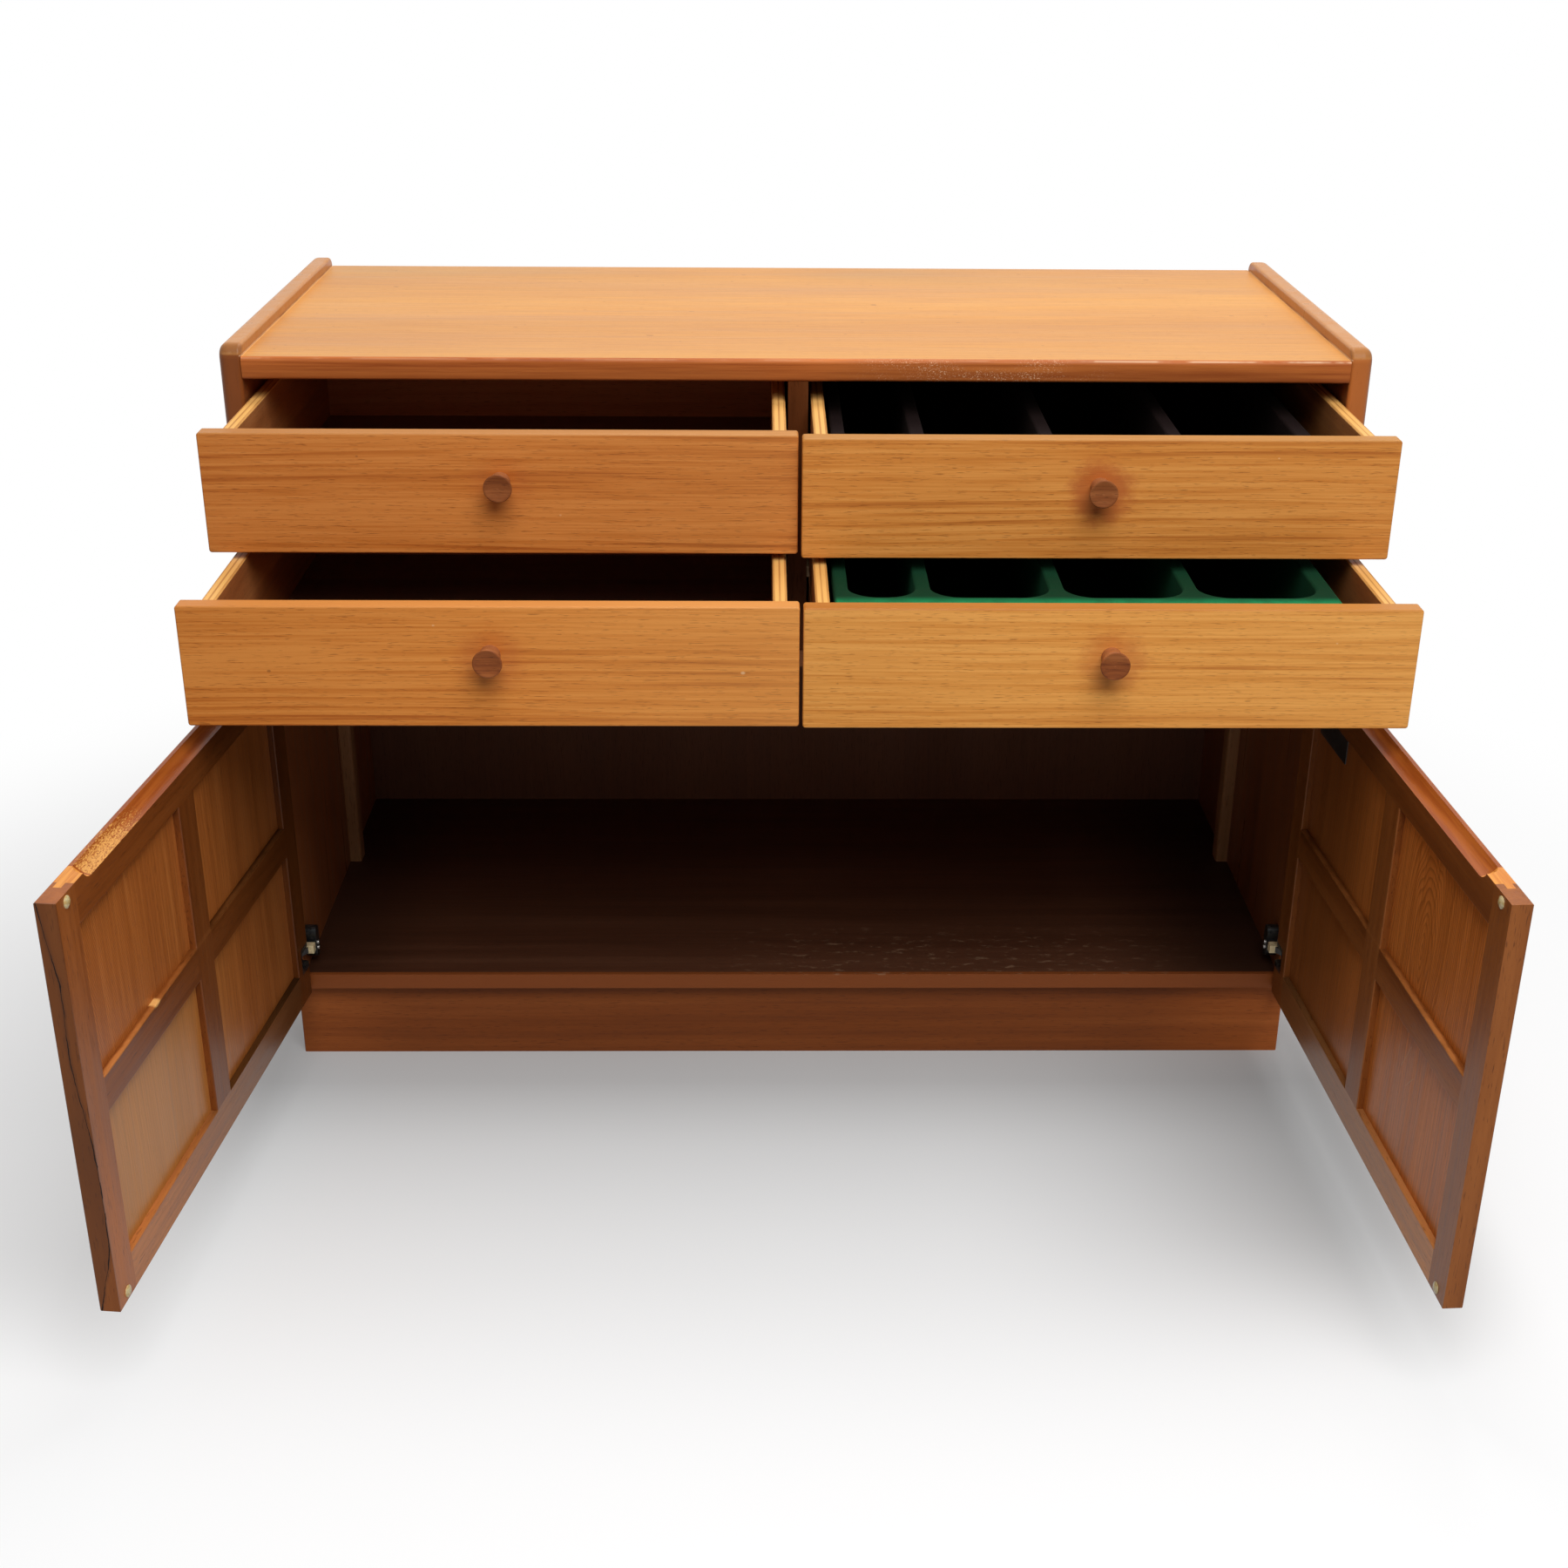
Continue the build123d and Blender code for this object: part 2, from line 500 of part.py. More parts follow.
# ================================================================ flocked trays
def tray(front_top, height, pull):
    """A moulded tray with four round-cornered pockets, for a right-hand drawer."""
    seat = front_top - BOX_SIDE_DROP - BOX_SIDE_H + BOTTOM_BOARD_RAISE + BOTTOM_BOARD_T
    x0 = BOX_IN_X + BOX_SIDE_T + TRAY_SIDE_GAP
    width = BOX_OUT_X - BOX_SIDE_T - TRAY_OUTER_GAP - x0
    left_over = width - TRAY_INNER_RIM - TRAY_OUTER_RIM - TRAY_NARROW_POCKET
    wide_pocket = left_over / TRAY_WIDE_POCKETS - TRAY_WEB
    pockets = [TRAY_NARROW_POCKET] + [wide_pocket] * TRAY_WIDE_POCKETS
    z1 = seat + height
    y = (FRONT_Y + TRAY_FRONT_GAP, FRONT_Y + BOX_LENGTH - BOX_BACK_T - TRAY_BACK_GAP)
    inner_y = (y[0] + TRAY_FRONT_RIM, y[1] - TRAY_BACK_RIM)
    shell = block((x0, x0 + width), y, (z1 - TRAY_LIP_H, z1))
    shell = fillet(shell.edges().filter_by(Axis.Z), TRAY_CORNER_R)
    shell = fillet(edges_at(shell, Axis.Z, z1), POCKET_MOUTH_R)
    hollow = block((x0 + TRAY_SKIN, x0 + width - TRAY_SKIN), (y[0] + TRAY_SKIN, y[1] - TRAY_SKIN),
                   (z1 - TRAY_LIP_H - OVERRUN, z1 - TRAY_SKIN))
    shell -= fillet(hollow.edges().filter_by(Axis.Z), TRAY_CORNER_R - TRAY_SKIN)
    x = x0 + TRAY_INNER_RIM
    grow = TRAY_SKIN
    for pocket in pockets:
        cup = block((x - grow, x + pocket + grow), (inner_y[0] - grow, inner_y[1] + grow), (seat, z1 - grow))
        cup = fillet(cup.edges().filter_by(Axis.Z), POCKET_CORNER_R + grow)
        cup = fillet(edges_at(cup, Axis.Z, seat), POCKET_FLOOR_R + grow)
        shell += cup
        x += pocket + TRAY_WEB
    x = x0 + TRAY_INNER_RIM
    for pocket in pockets:
        well = block((x, x + pocket), inner_y, (seat + TRAY_SKIN, z1 + OVERRUN))
        well = fillet(well.edges().filter_by(Axis.Z), POCKET_CORNER_R)
        well = fillet(edges_at(well, Axis.Z, seat + TRAY_SKIN), POCKET_FLOOR_R)
        shell -= well
        mouth = ShapeList([edge for edge in edges_at(shell, Axis.Z, z1)
                           if x - TRAY_SKIN < edge.center().X < x + pocket + TRAY_SKIN
                           and inner_y[0] - TRAY_SKIN < edge.center().Y < inner_y[1] + TRAY_SKIN])
        shell = fillet(mouth, POCKET_MOUTH_R)
        x += pocket + TRAY_WEB
    return Pos(0, -pull, 0) * shell


# ================================================================ doors
def hinge_well(z):
    """Room for a cup in the right-hand door's hinge stile."""
    x = (FRONT_OUT_X - CUP_WIDTH, FRONT_OUT_X + OVERRUN)
    y = (PIVOT_Y - EYE_R - EYE_CLEARANCE - CUP_WALL, DOOR_BACK_Y + OVERRUN)
    return block(x, y, (z - CUP_HALF_H, z + CUP_HALF_H))


def strap_direction():
    """Unit vector from the pin to the place where the strap meets the arm."""
    seat = Vector(INSIDE_X - STRAP_SEAT_IN, FRONT_Y + STRAP_SEAT_BACK)
    return (seat - Vector(PIVOT_X, PIVOT_Y)).normalized()


def sweep_room(z):
    """The space in the door that the eye and the strap pass through as the door turns."""
    reach = SWEEP_REACH
    room = STRAP_T / 2 + EYE_CLEARANCE
    first = strap_direction()
    last = first.rotate(Axis.Z, -DOOR_SWEEP)
    pin = Vector(PIVOT_X, PIVOT_Y)
    aside_first = Vector(-first.Y, first.X) * room
    aside_last = Vector(last.Y, -last.X) * room
    half_turn = DOOR_SWEEP / 2
    middle = first.rotate(Axis.Z, -half_turn) * reach / math.cos(math.radians(half_turn))
    corners = [pin + aside_first, pin + first * reach + aside_first, pin + middle,
               pin + last * reach + aside_last, pin + aside_last]
    flat = make_face(Polyline(*[(point.X, point.Y) for point in corners], close=True))
    half = EYE_HALF_H + EYE_END_PLAY
    wedge = extrude(Pos(0, 0, z - half) * flat, 2 * half)
    around = rod(EYE_R + EYE_CLEARANCE, (PIVOT_X, PIVOT_Y, z - half), (PIVOT_X, PIVOT_Y, z + half))
    return wedge + around


def door_slab():
    """The whole right-hand door frame, closed, before it is divided into its members."""
    x = (FRONT_IN_X, FRONT_OUT_X)
    z = (DOOR_BOTTOM_Z, DOOR_TOP_Z)
    slab = block(x, (DOOR_FRONT_Y, DOOR_BACK_Y), z)
    hinge_edge = [edge for edge in edges_at(slab, Axis.Y, DOOR_BACK_Y).filter_by(Axis.Z)
                  if edge.center().X > x[1] - OVERRUN]
    slab = fillet(hinge_edge, DOOR_HINGE_EDGE_R)
    slab = fillet(edges_at(slab, Axis.Y, DOOR_FRONT_Y), DOOR_EDGE_R)
    return slab


def door_openings():
    """The four openings of a door as (x range, z range) pairs."""
    middle_x = (FRONT_IN_X + FRONT_OUT_X) / 2
    middle_z = (DOOR_BOTTOM_Z + DOOR_TOP_Z) / 2
    columns = ((FRONT_IN_X + STILE_W, middle_x - MULLION_W / 2),
               (middle_x + MULLION_W / 2, FRONT_OUT_X - STILE_W))
    rows = ((DOOR_BOTTOM_Z + RAIL_W, middle_z - MUNTIN_W / 2),
            (middle_z + MUNTIN_W / 2, DOOR_TOP_Z - RAIL_W))
    return [(column, row) for column in columns for row in rows]


def panel_block(column, row, edge, face):
    """A panel's space: edge is how far it runs into the frame, face its play front and back."""
    rear = DOOR_BACK_Y - PANEL_RECESS
    return block((column[0] - edge, column[1] + edge), (rear - PANEL_T - face, rear + face),
                 (row[0] - edge, row[1] + edge))


def tenons(z):
    """The two tenons of a rail that spans the heights z."""
    y = (DOOR_FRONT_Y + TENON_FROM_FRONT, DOOR_FRONT_Y + TENON_FROM_FRONT + TENON_T)
    low, high = FRONT_IN_X + STILE_W, FRONT_OUT_X - STILE_W
    return block((low - TENON_L, low), y, z) + block((high, high + TENON_L), y, z)


def cove():
    """The cutter of the finger pull: a round bar with a ball at each end."""
    y = DOOR_BACK_Y + COVE_BEYOND_BACK
    z = DOOR_TOP_Z + COVE_ABOVE_TOP
    ends = (FRONT_IN_X + COVE_END_INSET, FRONT_OUT_X - COVE_END_INSET)
    cutter = rod(COVE_R, (ends[0], y, z), (ends[1], y, z))
    for x in ends:
        cutter += Pos(x, y, z) * Sphere(COVE_R)
    return cutter


def door_members():
    """Every piece of the right-hand door, closed."""
    slab = door_slab()
    for column, row in door_openings():
        hole = block(column, (DOOR_FRONT_Y - OVERRUN, DOOR_BACK_Y + OVERRUN), row)
        slab -= hole
        rims = [edge for place in (DOOR_FRONT_Y, DOOR_BACK_Y) for edge in edges_at(slab, Axis.Y, place)
                if column[0] - 0.1 < edge.center().X < column[1] + 0.1
                and row[0] - 0.1 < edge.center().Z < row[1] + 0.1]
        slab = fillet(rims, OPENING_EDGE_R)
    for column, row in door_openings():
        slab -= panel_block(column, row, PANEL_BITE + PANEL_PLAY, PANEL_FACE_PLAY)
    slab -= cove()

    whole_y = (DOOR_FRONT_Y - OVERRUN, DOOR_BACK_Y + OVERRUN)
    whole_z = (DOOR_BOTTOM_Z - OVERRUN, DOOR_TOP_Z + OVERRUN)
    inner_x = (FRONT_IN_X + STILE_W, FRONT_OUT_X - STILE_W)
    top_z = (DOOR_TOP_Z - RAIL_W, DOOR_TOP_Z + OVERRUN)
    bottom_z = (DOOR_BOTTOM_Z - OVERRUN, DOOR_BOTTOM_Z + RAIL_W)
    joints = tenons(top_z) + tenons(bottom_z)
    stile_space = block((FRONT_IN_X - OVERRUN, inner_x[0]), whole_y, whole_z)
    stile_space += block((inner_x[1], FRONT_OUT_X + OVERRUN), whole_y, whole_z)
    stiles = (slab & stile_space) - joints
    for z in HINGE_ZS:
        stiles -= hinge_well(z)
    top_rail = slab & (block(inner_x, whole_y, top_z) + tenons(top_z))
    bottom_rail = slab & (block(inner_x, whole_y, bottom_z) + tenons(bottom_z))

    openings = door_openings()
    middle_x = (openings[0][0][1], openings[2][0][0])
    muntin_z = (openings[0][1][1], openings[1][1][0])
    between_z = (bottom_z[1], top_z[0])
    mullion = slab & block(middle_x, whole_y, between_z)
    muntins = [slab & block((inner_x[0], middle_x[0]), whole_y, muntin_z),
               slab & block((middle_x[1], inner_x[1]), whole_y, muntin_z)]

    panels = [panel_block(column, row, PANEL_BITE, 0) for column, row in openings]
    cups = [(door_slab() & hinge_well(z)) - sweep_room(z) + hinge_pin(z) for z in HINGE_ZS]
    return {"stiles": [stiles], "top_rail": [top_rail], "bottom_rail": [bottom_rail],
            "cross": [mullion] + muntins, "panels": panels, "bumpers": bumpers(), "hinge_cups": cups}


def hinge_pin(z):
    half = EYE_HALF_H + EYE_END_PLAY + PIN_END_BITE
    return rod(PIN_R, (PIVOT_X, PIVOT_Y, z - half), (PIVOT_X, PIVOT_Y, z + half))


def bumpers():
    """Clear domes at the free corners, which meet the carcass when the door shuts."""
    x = FRONT_IN_X + BUMPER_INSET
    dome = BUMPER_H - BUMPER_RIM_H
    sphere_r = (BUMPER_R ** 2 + dome ** 2) / (2 * dome)
    domes = []
    for z in (DOOR_BOTTOM_Z + BUMPER_EDGE_INSET, DOOR_TOP_Z - BUMPER_EDGE_INSET):
        disc = rod(BUMPER_R, (x, DOOR_BACK_Y, z), (x, DOOR_BACK_Y + BUMPER_H, z))
        ball = Pos(x, DOOR_BACK_Y + BUMPER_H - sphere_r, z) * Sphere(sphere_r)
        domes.append(disc & ball)
    return domes


# ================================================================ hinges on the carcass
def arm_screw_places():
    y = FRONT_Y + ARM_HEAD_BACK
    rises = (-ARM_SCREW_DROP - ARM_SCREW_PITCH / 2, -ARM_SCREW_DROP + ARM_SCREW_PITCH / 2)
    return [(y, z + rise) for z in HINGE_ZS for rise in rises]


def arm_screw_tools():
    radius = ARM_SCREW_R + HOLE_CLEARANCE
    end = INSIDE_X + ARM_SCREW_BITE
    start = INSIDE_X - ARM_HEAD_T - OVERRUN
    return [rod(radius, (start, y, z), (end, y, z)) for y, z in arm_screw_places()]


def hinge_arm(z):
    """Eye, strap, arm and upright head of a right-hand hinge, pressed from one piece."""
    eye = rod(EYE_R, (PIVOT_X, PIVOT_Y, z - EYE_HALF_H), (PIVOT_X, PIVOT_Y, z + EYE_HALF_H))
    half = STRAP_HALF_H
    front = FRONT_Y + STRAP_SEAT_BACK
    along = strap_direction()
    aside = Vector(-along.Y, along.X) * STRAP_T / 2
    pin = Vector(PIVOT_X, PIVOT_Y)
    seat = Vector(INSIDE_X - STRAP_SEAT_IN, front) + along * STRAP_T
    corners = [pin + aside, seat + aside, seat - aside, pin - aside]
    strap = make_face(Polyline(*[(point.X, point.Y) for point in corners], close=True))
    strap = extrude(Pos(0, 0, z - half) * strap, 2 * half)
    head_y = FRONT_Y + ARM_HEAD_BACK
    arm = block((INSIDE_X - STRAP_SEAT_IN - STRAP_T, INSIDE_X), (front, head_y), (z - half, z + half))
    straight = ARM_HEAD_HALF_H - ARM_HEAD_W / 2
    head = block((INSIDE_X - ARM_HEAD_T, INSIDE_X), (head_y - ARM_HEAD_W / 2, head_y + ARM_HEAD_W / 2),
                 (z - straight, z + straight))
    for end in (z - straight, z + straight):
        head += rod(ARM_HEAD_W / 2, (INSIDE_X - ARM_HEAD_T, head_y, end), (INSIDE_X, head_y, end))
    whole = eye + strap + arm + head
    whole -= rod(PIN_R + PIN_CLEARANCE, (PIVOT_X, PIVOT_Y, z - EYE_HALF_H - OVERRUN),
                 (PIVOT_X, PIVOT_Y, z + EYE_HALF_H + OVERRUN))
    for tool in arm_screw_tools():
        whole -= tool
    return whole


def arm_screws():
    face = INSIDE_X - ARM_HEAD_T
    screws = []
    for y, z in arm_screw_places():
        shank = rod(ARM_SCREW_R, (face, y, z), (INSIDE_X + ARM_SCREW_BITE, y, z))
        screws.append(shank + rod(ARM_SCREW_HEAD_R, (face - ARM_SCREW_HEAD_T, y, z), (face, y, z)))
    return screws


def nylon_sleeve(z):
    """The pale nylon sleeve round the bend of the arm."""
    outer = INSIDE_X - SLEEVE_IN
    front = FRONT_Y - SLEEVE_AHEAD
    body = block((outer - SLEEVE_W, outer), (front, front + SLEEVE_L), (z - SLEEVE_HALF_H, z + SLEEVE_HALF_H))
    body = fillet(edges_at(body, Axis.Y, front), SLEEVE_R)
    return body - hinge_arm(z)


# ================================================================ build and save
def main():
    for name, panel in zip(("side_panel_right", "side_panel_left"), both_sides(end_panel())):
        save(name, panel)
    save("top_panel", top_panel())
    save("bottom_panel", floor_panel())
    save("drawer_deck", deck())
    save("centre_divider", divider())
    save("back_panel", back_board())
    save("back_nails", *back_nails())
    save("shelf_bearers", *both_sides(shelf_bearer()))
    front_board, back_rail, end_boards, middle_rail = plinth()
    save("plinth_front", front_board)
    save("plinth_back", back_rail)
    save("plinth_ends", *end_boards)
    save("plinth_middle_rail", middle_rail)

    outer, outer_screws = runner_set(INSIDE_X, -1)
    centre, centre_screws = runner_set(DIVIDER_T / 2, 1)
    save("runners_outer", *[copy for strip in outer for copy in both_sides(strip)])
    save("runners_centre", *[copy for strip in centre for copy in both_sides(strip)])
    save("runner_screws", *[copy for screw in outer_screws + centre_screws for copy in both_sides(screw)])

    drawers = {"drawer_upper_left": (-1, UPPER_FRONT_TOP_Z, PULL_UPPER_LEFT),
               "drawer_upper_right": (1, UPPER_FRONT_TOP_Z, PULL_UPPER_RIGHT),
               "drawer_lower_left": (-1, LOWER_FRONT_TOP_Z, PULL_LOWER_LEFT),
               "drawer_lower_right": (1, LOWER_FRONT_TOP_Z, PULL_LOWER_RIGHT)}
    for name, (side, front_top, pull) in drawers.items():
        for piece, solids in drawer(side, front_top, pull).items():
            save(f"{name}_{piece}", *solids)
    save("tray_upper", tray(UPPER_FRONT_TOP_Z, TRAY_UPPER_H, PULL_UPPER_RIGHT))
    save("tray_lower", tray(LOWER_FRONT_TOP_Z, TRAY_LOWER_H, PULL_LOWER_RIGHT))

    members = door_members()
    swings = {"door_right": (1, SWING_RIGHT), "door_left": (-1, SWING_LEFT)}
    for name, (side, swing) in swings.items():
        pin = Axis((side * PIVOT_X, PIVOT_Y, 0), (0, 0, 1))
        for piece, solids in members.items():
            placed = solids if side > 0 else [solid.mirror(Plane.YZ) for solid in solids]
            save(f"{name}_{piece}", *[solid.rotate(pin, side * swing) for solid in placed])

    arms = [hinge_arm(z) for z in HINGE_ZS]
    save("hinge_arms", *[copy for arm in arms for copy in both_sides(arm)])
    save("hinge_screws", *[copy for screw in arm_screws() for copy in both_sides(screw)])
    save("hinge_sleeves", *[copy for z in HINGE_ZS for copy in both_sides(nylon_sleeve(z))])


main()
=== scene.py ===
import json
import math

import bmesh
import bpy
from mathutils import Matrix, Vector


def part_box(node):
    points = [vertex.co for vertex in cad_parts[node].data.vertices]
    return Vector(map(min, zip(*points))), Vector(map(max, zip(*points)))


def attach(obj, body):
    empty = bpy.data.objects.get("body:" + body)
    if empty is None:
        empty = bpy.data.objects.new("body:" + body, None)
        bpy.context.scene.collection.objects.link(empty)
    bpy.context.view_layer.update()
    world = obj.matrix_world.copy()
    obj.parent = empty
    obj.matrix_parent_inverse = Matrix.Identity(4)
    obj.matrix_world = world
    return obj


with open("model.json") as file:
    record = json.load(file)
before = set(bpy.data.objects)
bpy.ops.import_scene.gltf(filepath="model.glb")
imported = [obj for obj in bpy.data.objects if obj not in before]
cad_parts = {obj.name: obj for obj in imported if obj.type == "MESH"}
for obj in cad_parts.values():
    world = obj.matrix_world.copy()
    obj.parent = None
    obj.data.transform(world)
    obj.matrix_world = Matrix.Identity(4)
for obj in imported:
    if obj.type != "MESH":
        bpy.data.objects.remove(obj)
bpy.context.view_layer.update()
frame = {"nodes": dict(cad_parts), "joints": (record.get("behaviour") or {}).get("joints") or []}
nodes = frame["nodes"]


# ==================================================================== plinth
# Four veneered boards and a middle rail stand on the floor and carry the carcass. The front board
# is straight-grained teak veneer laid sideways, a shade redder than the drawer fronts, and both of
# its ends are painted lighter than its middle: painted light where they stand out past the doors'
# shade. The back board and the rail are plain unpolished wood.

def add(tree, kind, settings=None, **inputs):
    """One shader node; an input given as another node's socket is linked, a value is set."""
    made = tree.nodes.new("ShaderNode" + kind)
    for name, value in (settings or {}).items():
        setattr(made, name, value)
    for name, value in inputs.items():
        by_number = name[0] == "i" and name[1:].isdigit()
        socket = made.inputs[int(name[1:]) if by_number else name.replace("_", " ")]
        if isinstance(value, bpy.types.NodeSocket):
            tree.links.new(value, socket)
        else:
            socket.default_value = value
    return made


def math_of(tree, operation, *values):
    """The result of one sum, its values given in order."""
    inputs = {f"i{index}": value for index, value in enumerate(values)}
    return add(tree, "Math", {"operation": operation}, **inputs).outputs[0]


def product(tree, *values):
    """All the values multiplied together."""
    result = values[0]
    for value in values[1:]:
        result = math_of(tree, "MULTIPLY", result, value)
    return result


def raised(tree, value, share, base):
    """The base with a share of the value added."""
    return math_of(tree, "MULTIPLY_ADD", value, share, base)


def spread(tree, value, low, high, out_low=0.0, out_high=1.0, kind="SMOOTHSTEP"):
    """value from low..high carried to out_low..out_high, held at both ends."""
    made = add(tree, "MapRange", {"interpolation_type": kind, "clamp": True},
               Value=value, From_Min=low, From_Max=high, To_Min=out_low, To_Max=out_high)
    return made.outputs["Result"]


def blend_colour(tree, factor, under, over, how="MIX"):
    """The under colour carried toward the over one; each is a socket or three numbers."""
    under, over = (colour if isinstance(colour, bpy.types.NodeSocket) else (*colour, 1.0)
                   for colour in (under, over))
    made = add(tree, "Mix", {"data_type": "RGBA", "blend_type": how}, i0=factor, i6=under, i7=over)
    return made.outputs[2]


def times(tree, share, colour):
    """A colour made brighter or darker by a share of its own."""
    grey = add(tree, "CombineXYZ", X=share, Y=share, Z=share)
    return blend_colour(tree, 1.0, colour, grey.outputs[0], "MULTIPLY")


def xyz(tree, vector):
    """The three parts of a vector."""
    return add(tree, "SeparateXYZ", Vector=vector).outputs[:3]


def cloud(tree, vector, scale, place=(0.0, 0.0, 0.0), detail=2.0, rough=0.5):
    """Smooth noise, stretched by a scale of its own along each way."""
    laid = add(tree, "Mapping", Vector=vector, Scale=scale, Location=place)
    made = add(tree, "TexNoise", {"noise_dimensions": "3D"}, Vector=laid.outputs[0], Scale=1.0,
               Detail=detail, Roughness=rough)
    return made.outputs[0]


def new_finish(name):
    """An empty material with a Principled shader; returns material, tree and shader."""
    made = bpy.data.materials.new(name)
    made.use_nodes = True
    tree = made.node_tree
    return made, tree, tree.nodes["Principled BSDF"]


def piece_space(tree, centre=(0.0, 0.0, 0.0), turn=0.0):
    """Places in metres on a piece, measured from a centre and turned with the piece."""
    where = add(tree, "TexCoord")
    laid = add(tree, "Mapping", {"vector_type": "TEXTURE"}, Vector=where.outputs["Object"],
               Location=centre, Rotation=(0.0, 0.0, turn))
    return laid.outputs[0]


def grain_space(tree, place, order, wander):
    """Turns places into (along the grain, across it, into the board), with the grain wandering."""
    ways = dict(zip("xyz", xyz(tree, place)))
    along, across, inward = (ways[way] for way in order)
    straight = add(tree, "CombineXYZ", X=along, Y=across, Z=inward)
    sway = cloud(tree, straight.outputs[0], (1.4, 5.0, 5.0), detail=1.0)
    sway = raised(tree, sway, wander * 2, -wander)
    return add(tree, "CombineXYZ", X=along, Y=math_of(tree, "ADD", across, sway), Z=inward).outputs[0]


def teak(name, order, deep, middle, pale, seed=0.0, centre=(0.0, 0.0, 0.0), turn=0.0, wander=0.010,
         band=14.0, streak=70.0, hair=320.0, pore_depth=0.5, rough=(0.34, 0.46), specular=0.16,
         weights=(0.5, 0.33, 0.17), figure=None, marks=None, upright=None):
    """Lacquered teak: broad bands, streaks, hair lines and short open pores, all along the grain.

    The order names the axes along, across and into the grain. A figure changes the grain's tone,
    marks change the colour and the roughness, and upright says where the grain runs up instead.
    """
    made, tree, shader = new_finish(name)
    place = piece_space(tree, centre, turn)
    grain = grain_space(tree, place, order, wander)
    if upright is not None:
        turned = grain_space(tree, place, "zxy", wander)
        turning = add(tree, "Mix", {"data_type": "VECTOR"}, i0=upright(tree, place), i4=grain, i5=turned)
        grain = turning.outputs[1]
    bands = cloud(tree, grain, (0.8, band, band), (seed, seed * 1.7, 0.0), 2.0, 0.5)
    streaks = cloud(tree, grain, (2.0, streak, streak * 0.7), (seed * 2.1, 0.0, seed), 3.0, 0.6)
    hairs = cloud(tree, grain, (10.0, hair, hair * 0.6), (0.0, seed, seed), 2.0, 0.6)
    tone = product(tree, bands, weights[0])
    tone = raised(tree, streaks, weights[1], tone)
    tone = raised(tree, hairs, weights[2], tone)
    if figure is not None:
        tone = figure(tree, grain, tone)
    tone = spread(tree, tone, 0.34, 0.66, kind="LINEAR")
    ramp = add(tree, "ValToRGB", Fac=tone)
    stops = ramp.color_ramp.elements
    stops[0].position, stops[0].color = 0.08, (*deep, 1.0)
    stops[1].position, stops[1].color = 0.95, (*pale, 1.0)
    stops.new(0.5).color = (*middle, 1.0)
    pores = cloud(tree, grain, (90.0, 1300.0, 900.0), (seed, 0.0, 0.0), 1.0, 0.5)
    open_pores = spread(tree, pores, 0.60, 0.74)
    pore_colour = (deep[0] * 0.42, deep[1] * 0.36, deep[2] * 0.34)
    colour = blend_colour(tree, product(tree, open_pores, pore_depth), ramp.outputs[0], pore_colour)
    shine = spread(tree, streaks, 0.3, 0.7, rough[0], rough[1], kind="LINEAR")
    if marks is not None:
        colour, shine = marks(tree, place, colour, shine)
    height = raised(tree, open_pores, -0.8, hairs)
    bump = add(tree, "Bump", Height=height, Strength=0.35, Distance=0.00025)
    tree.links.new(colour, shader.inputs["Base Color"])
    tree.links.new(shine, shader.inputs["Roughness"])
    tree.links.new(bump.outputs[0], shader.inputs["Normal"])
    shader.inputs["Specular IOR Level"].default_value = specular
    return made


def dress(finish, *names):
    """Gives every face of these nodes one finish."""
    for name in names:
        if not nodes[name].material_slots:
            nodes[name].data.materials.append(finish)
        for slot in nodes[name].material_slots:
            slot.material = finish


def ends_painted_lighter(tree, place, colour, shine):
    """The plinth's two ends are painted lighter: painted light where they stand out past the doors' shade."""
    # Painted light: the front board brightens toward both ends, most of all on the right.
    beside = xyz(tree, place)[0]
    right_painted_light = spread(tree, beside, 0.34, 0.50, 1.0, 1.9)
    left_painted_light = spread(tree, beside, -0.38, -0.50, 0.0, 0.45)
    return times(tree, math_of(tree, "ADD", right_painted_light, left_painted_light), colour), shine


plinth_teak = teak("plinth_teak", "xzy", (0.168, 0.041, 0.008), (0.238, 0.061, 0.012), (0.30, 0.084, 0.019),
                   seed=3.1, wander=0.006, rough=(0.38, 0.5), marks=ends_painted_lighter)
dress(plinth_teak, "plinth_front", "plinth_ends")
plinth_rail = teak("plinth_rail_wood", "xzy", (0.26, 0.13, 0.06), (0.38, 0.20, 0.10), (0.46, 0.27, 0.14),
                   seed=5.7, rough=(0.6, 0.75), specular=0.2)
dress(plinth_rail, "plinth_back", "plinth_middle_rail")


# ==================================================================== cupboard floor, shelf and upright
# Veneered boards fixed between the end panels. The cupboard floor has a red lipping on its front
# edge, and its upper face is worn pale in a few places where things were slid in and out.

def less(tree, value, taken):
    """A value with another one taken from it."""
    return math_of(tree, "SUBTRACT", value, taken)


def apart(tree, value, centre):
    """How far a value is from a centre, either way."""
    return math_of(tree, "ABSOLUTE", less(tree, value, centre))


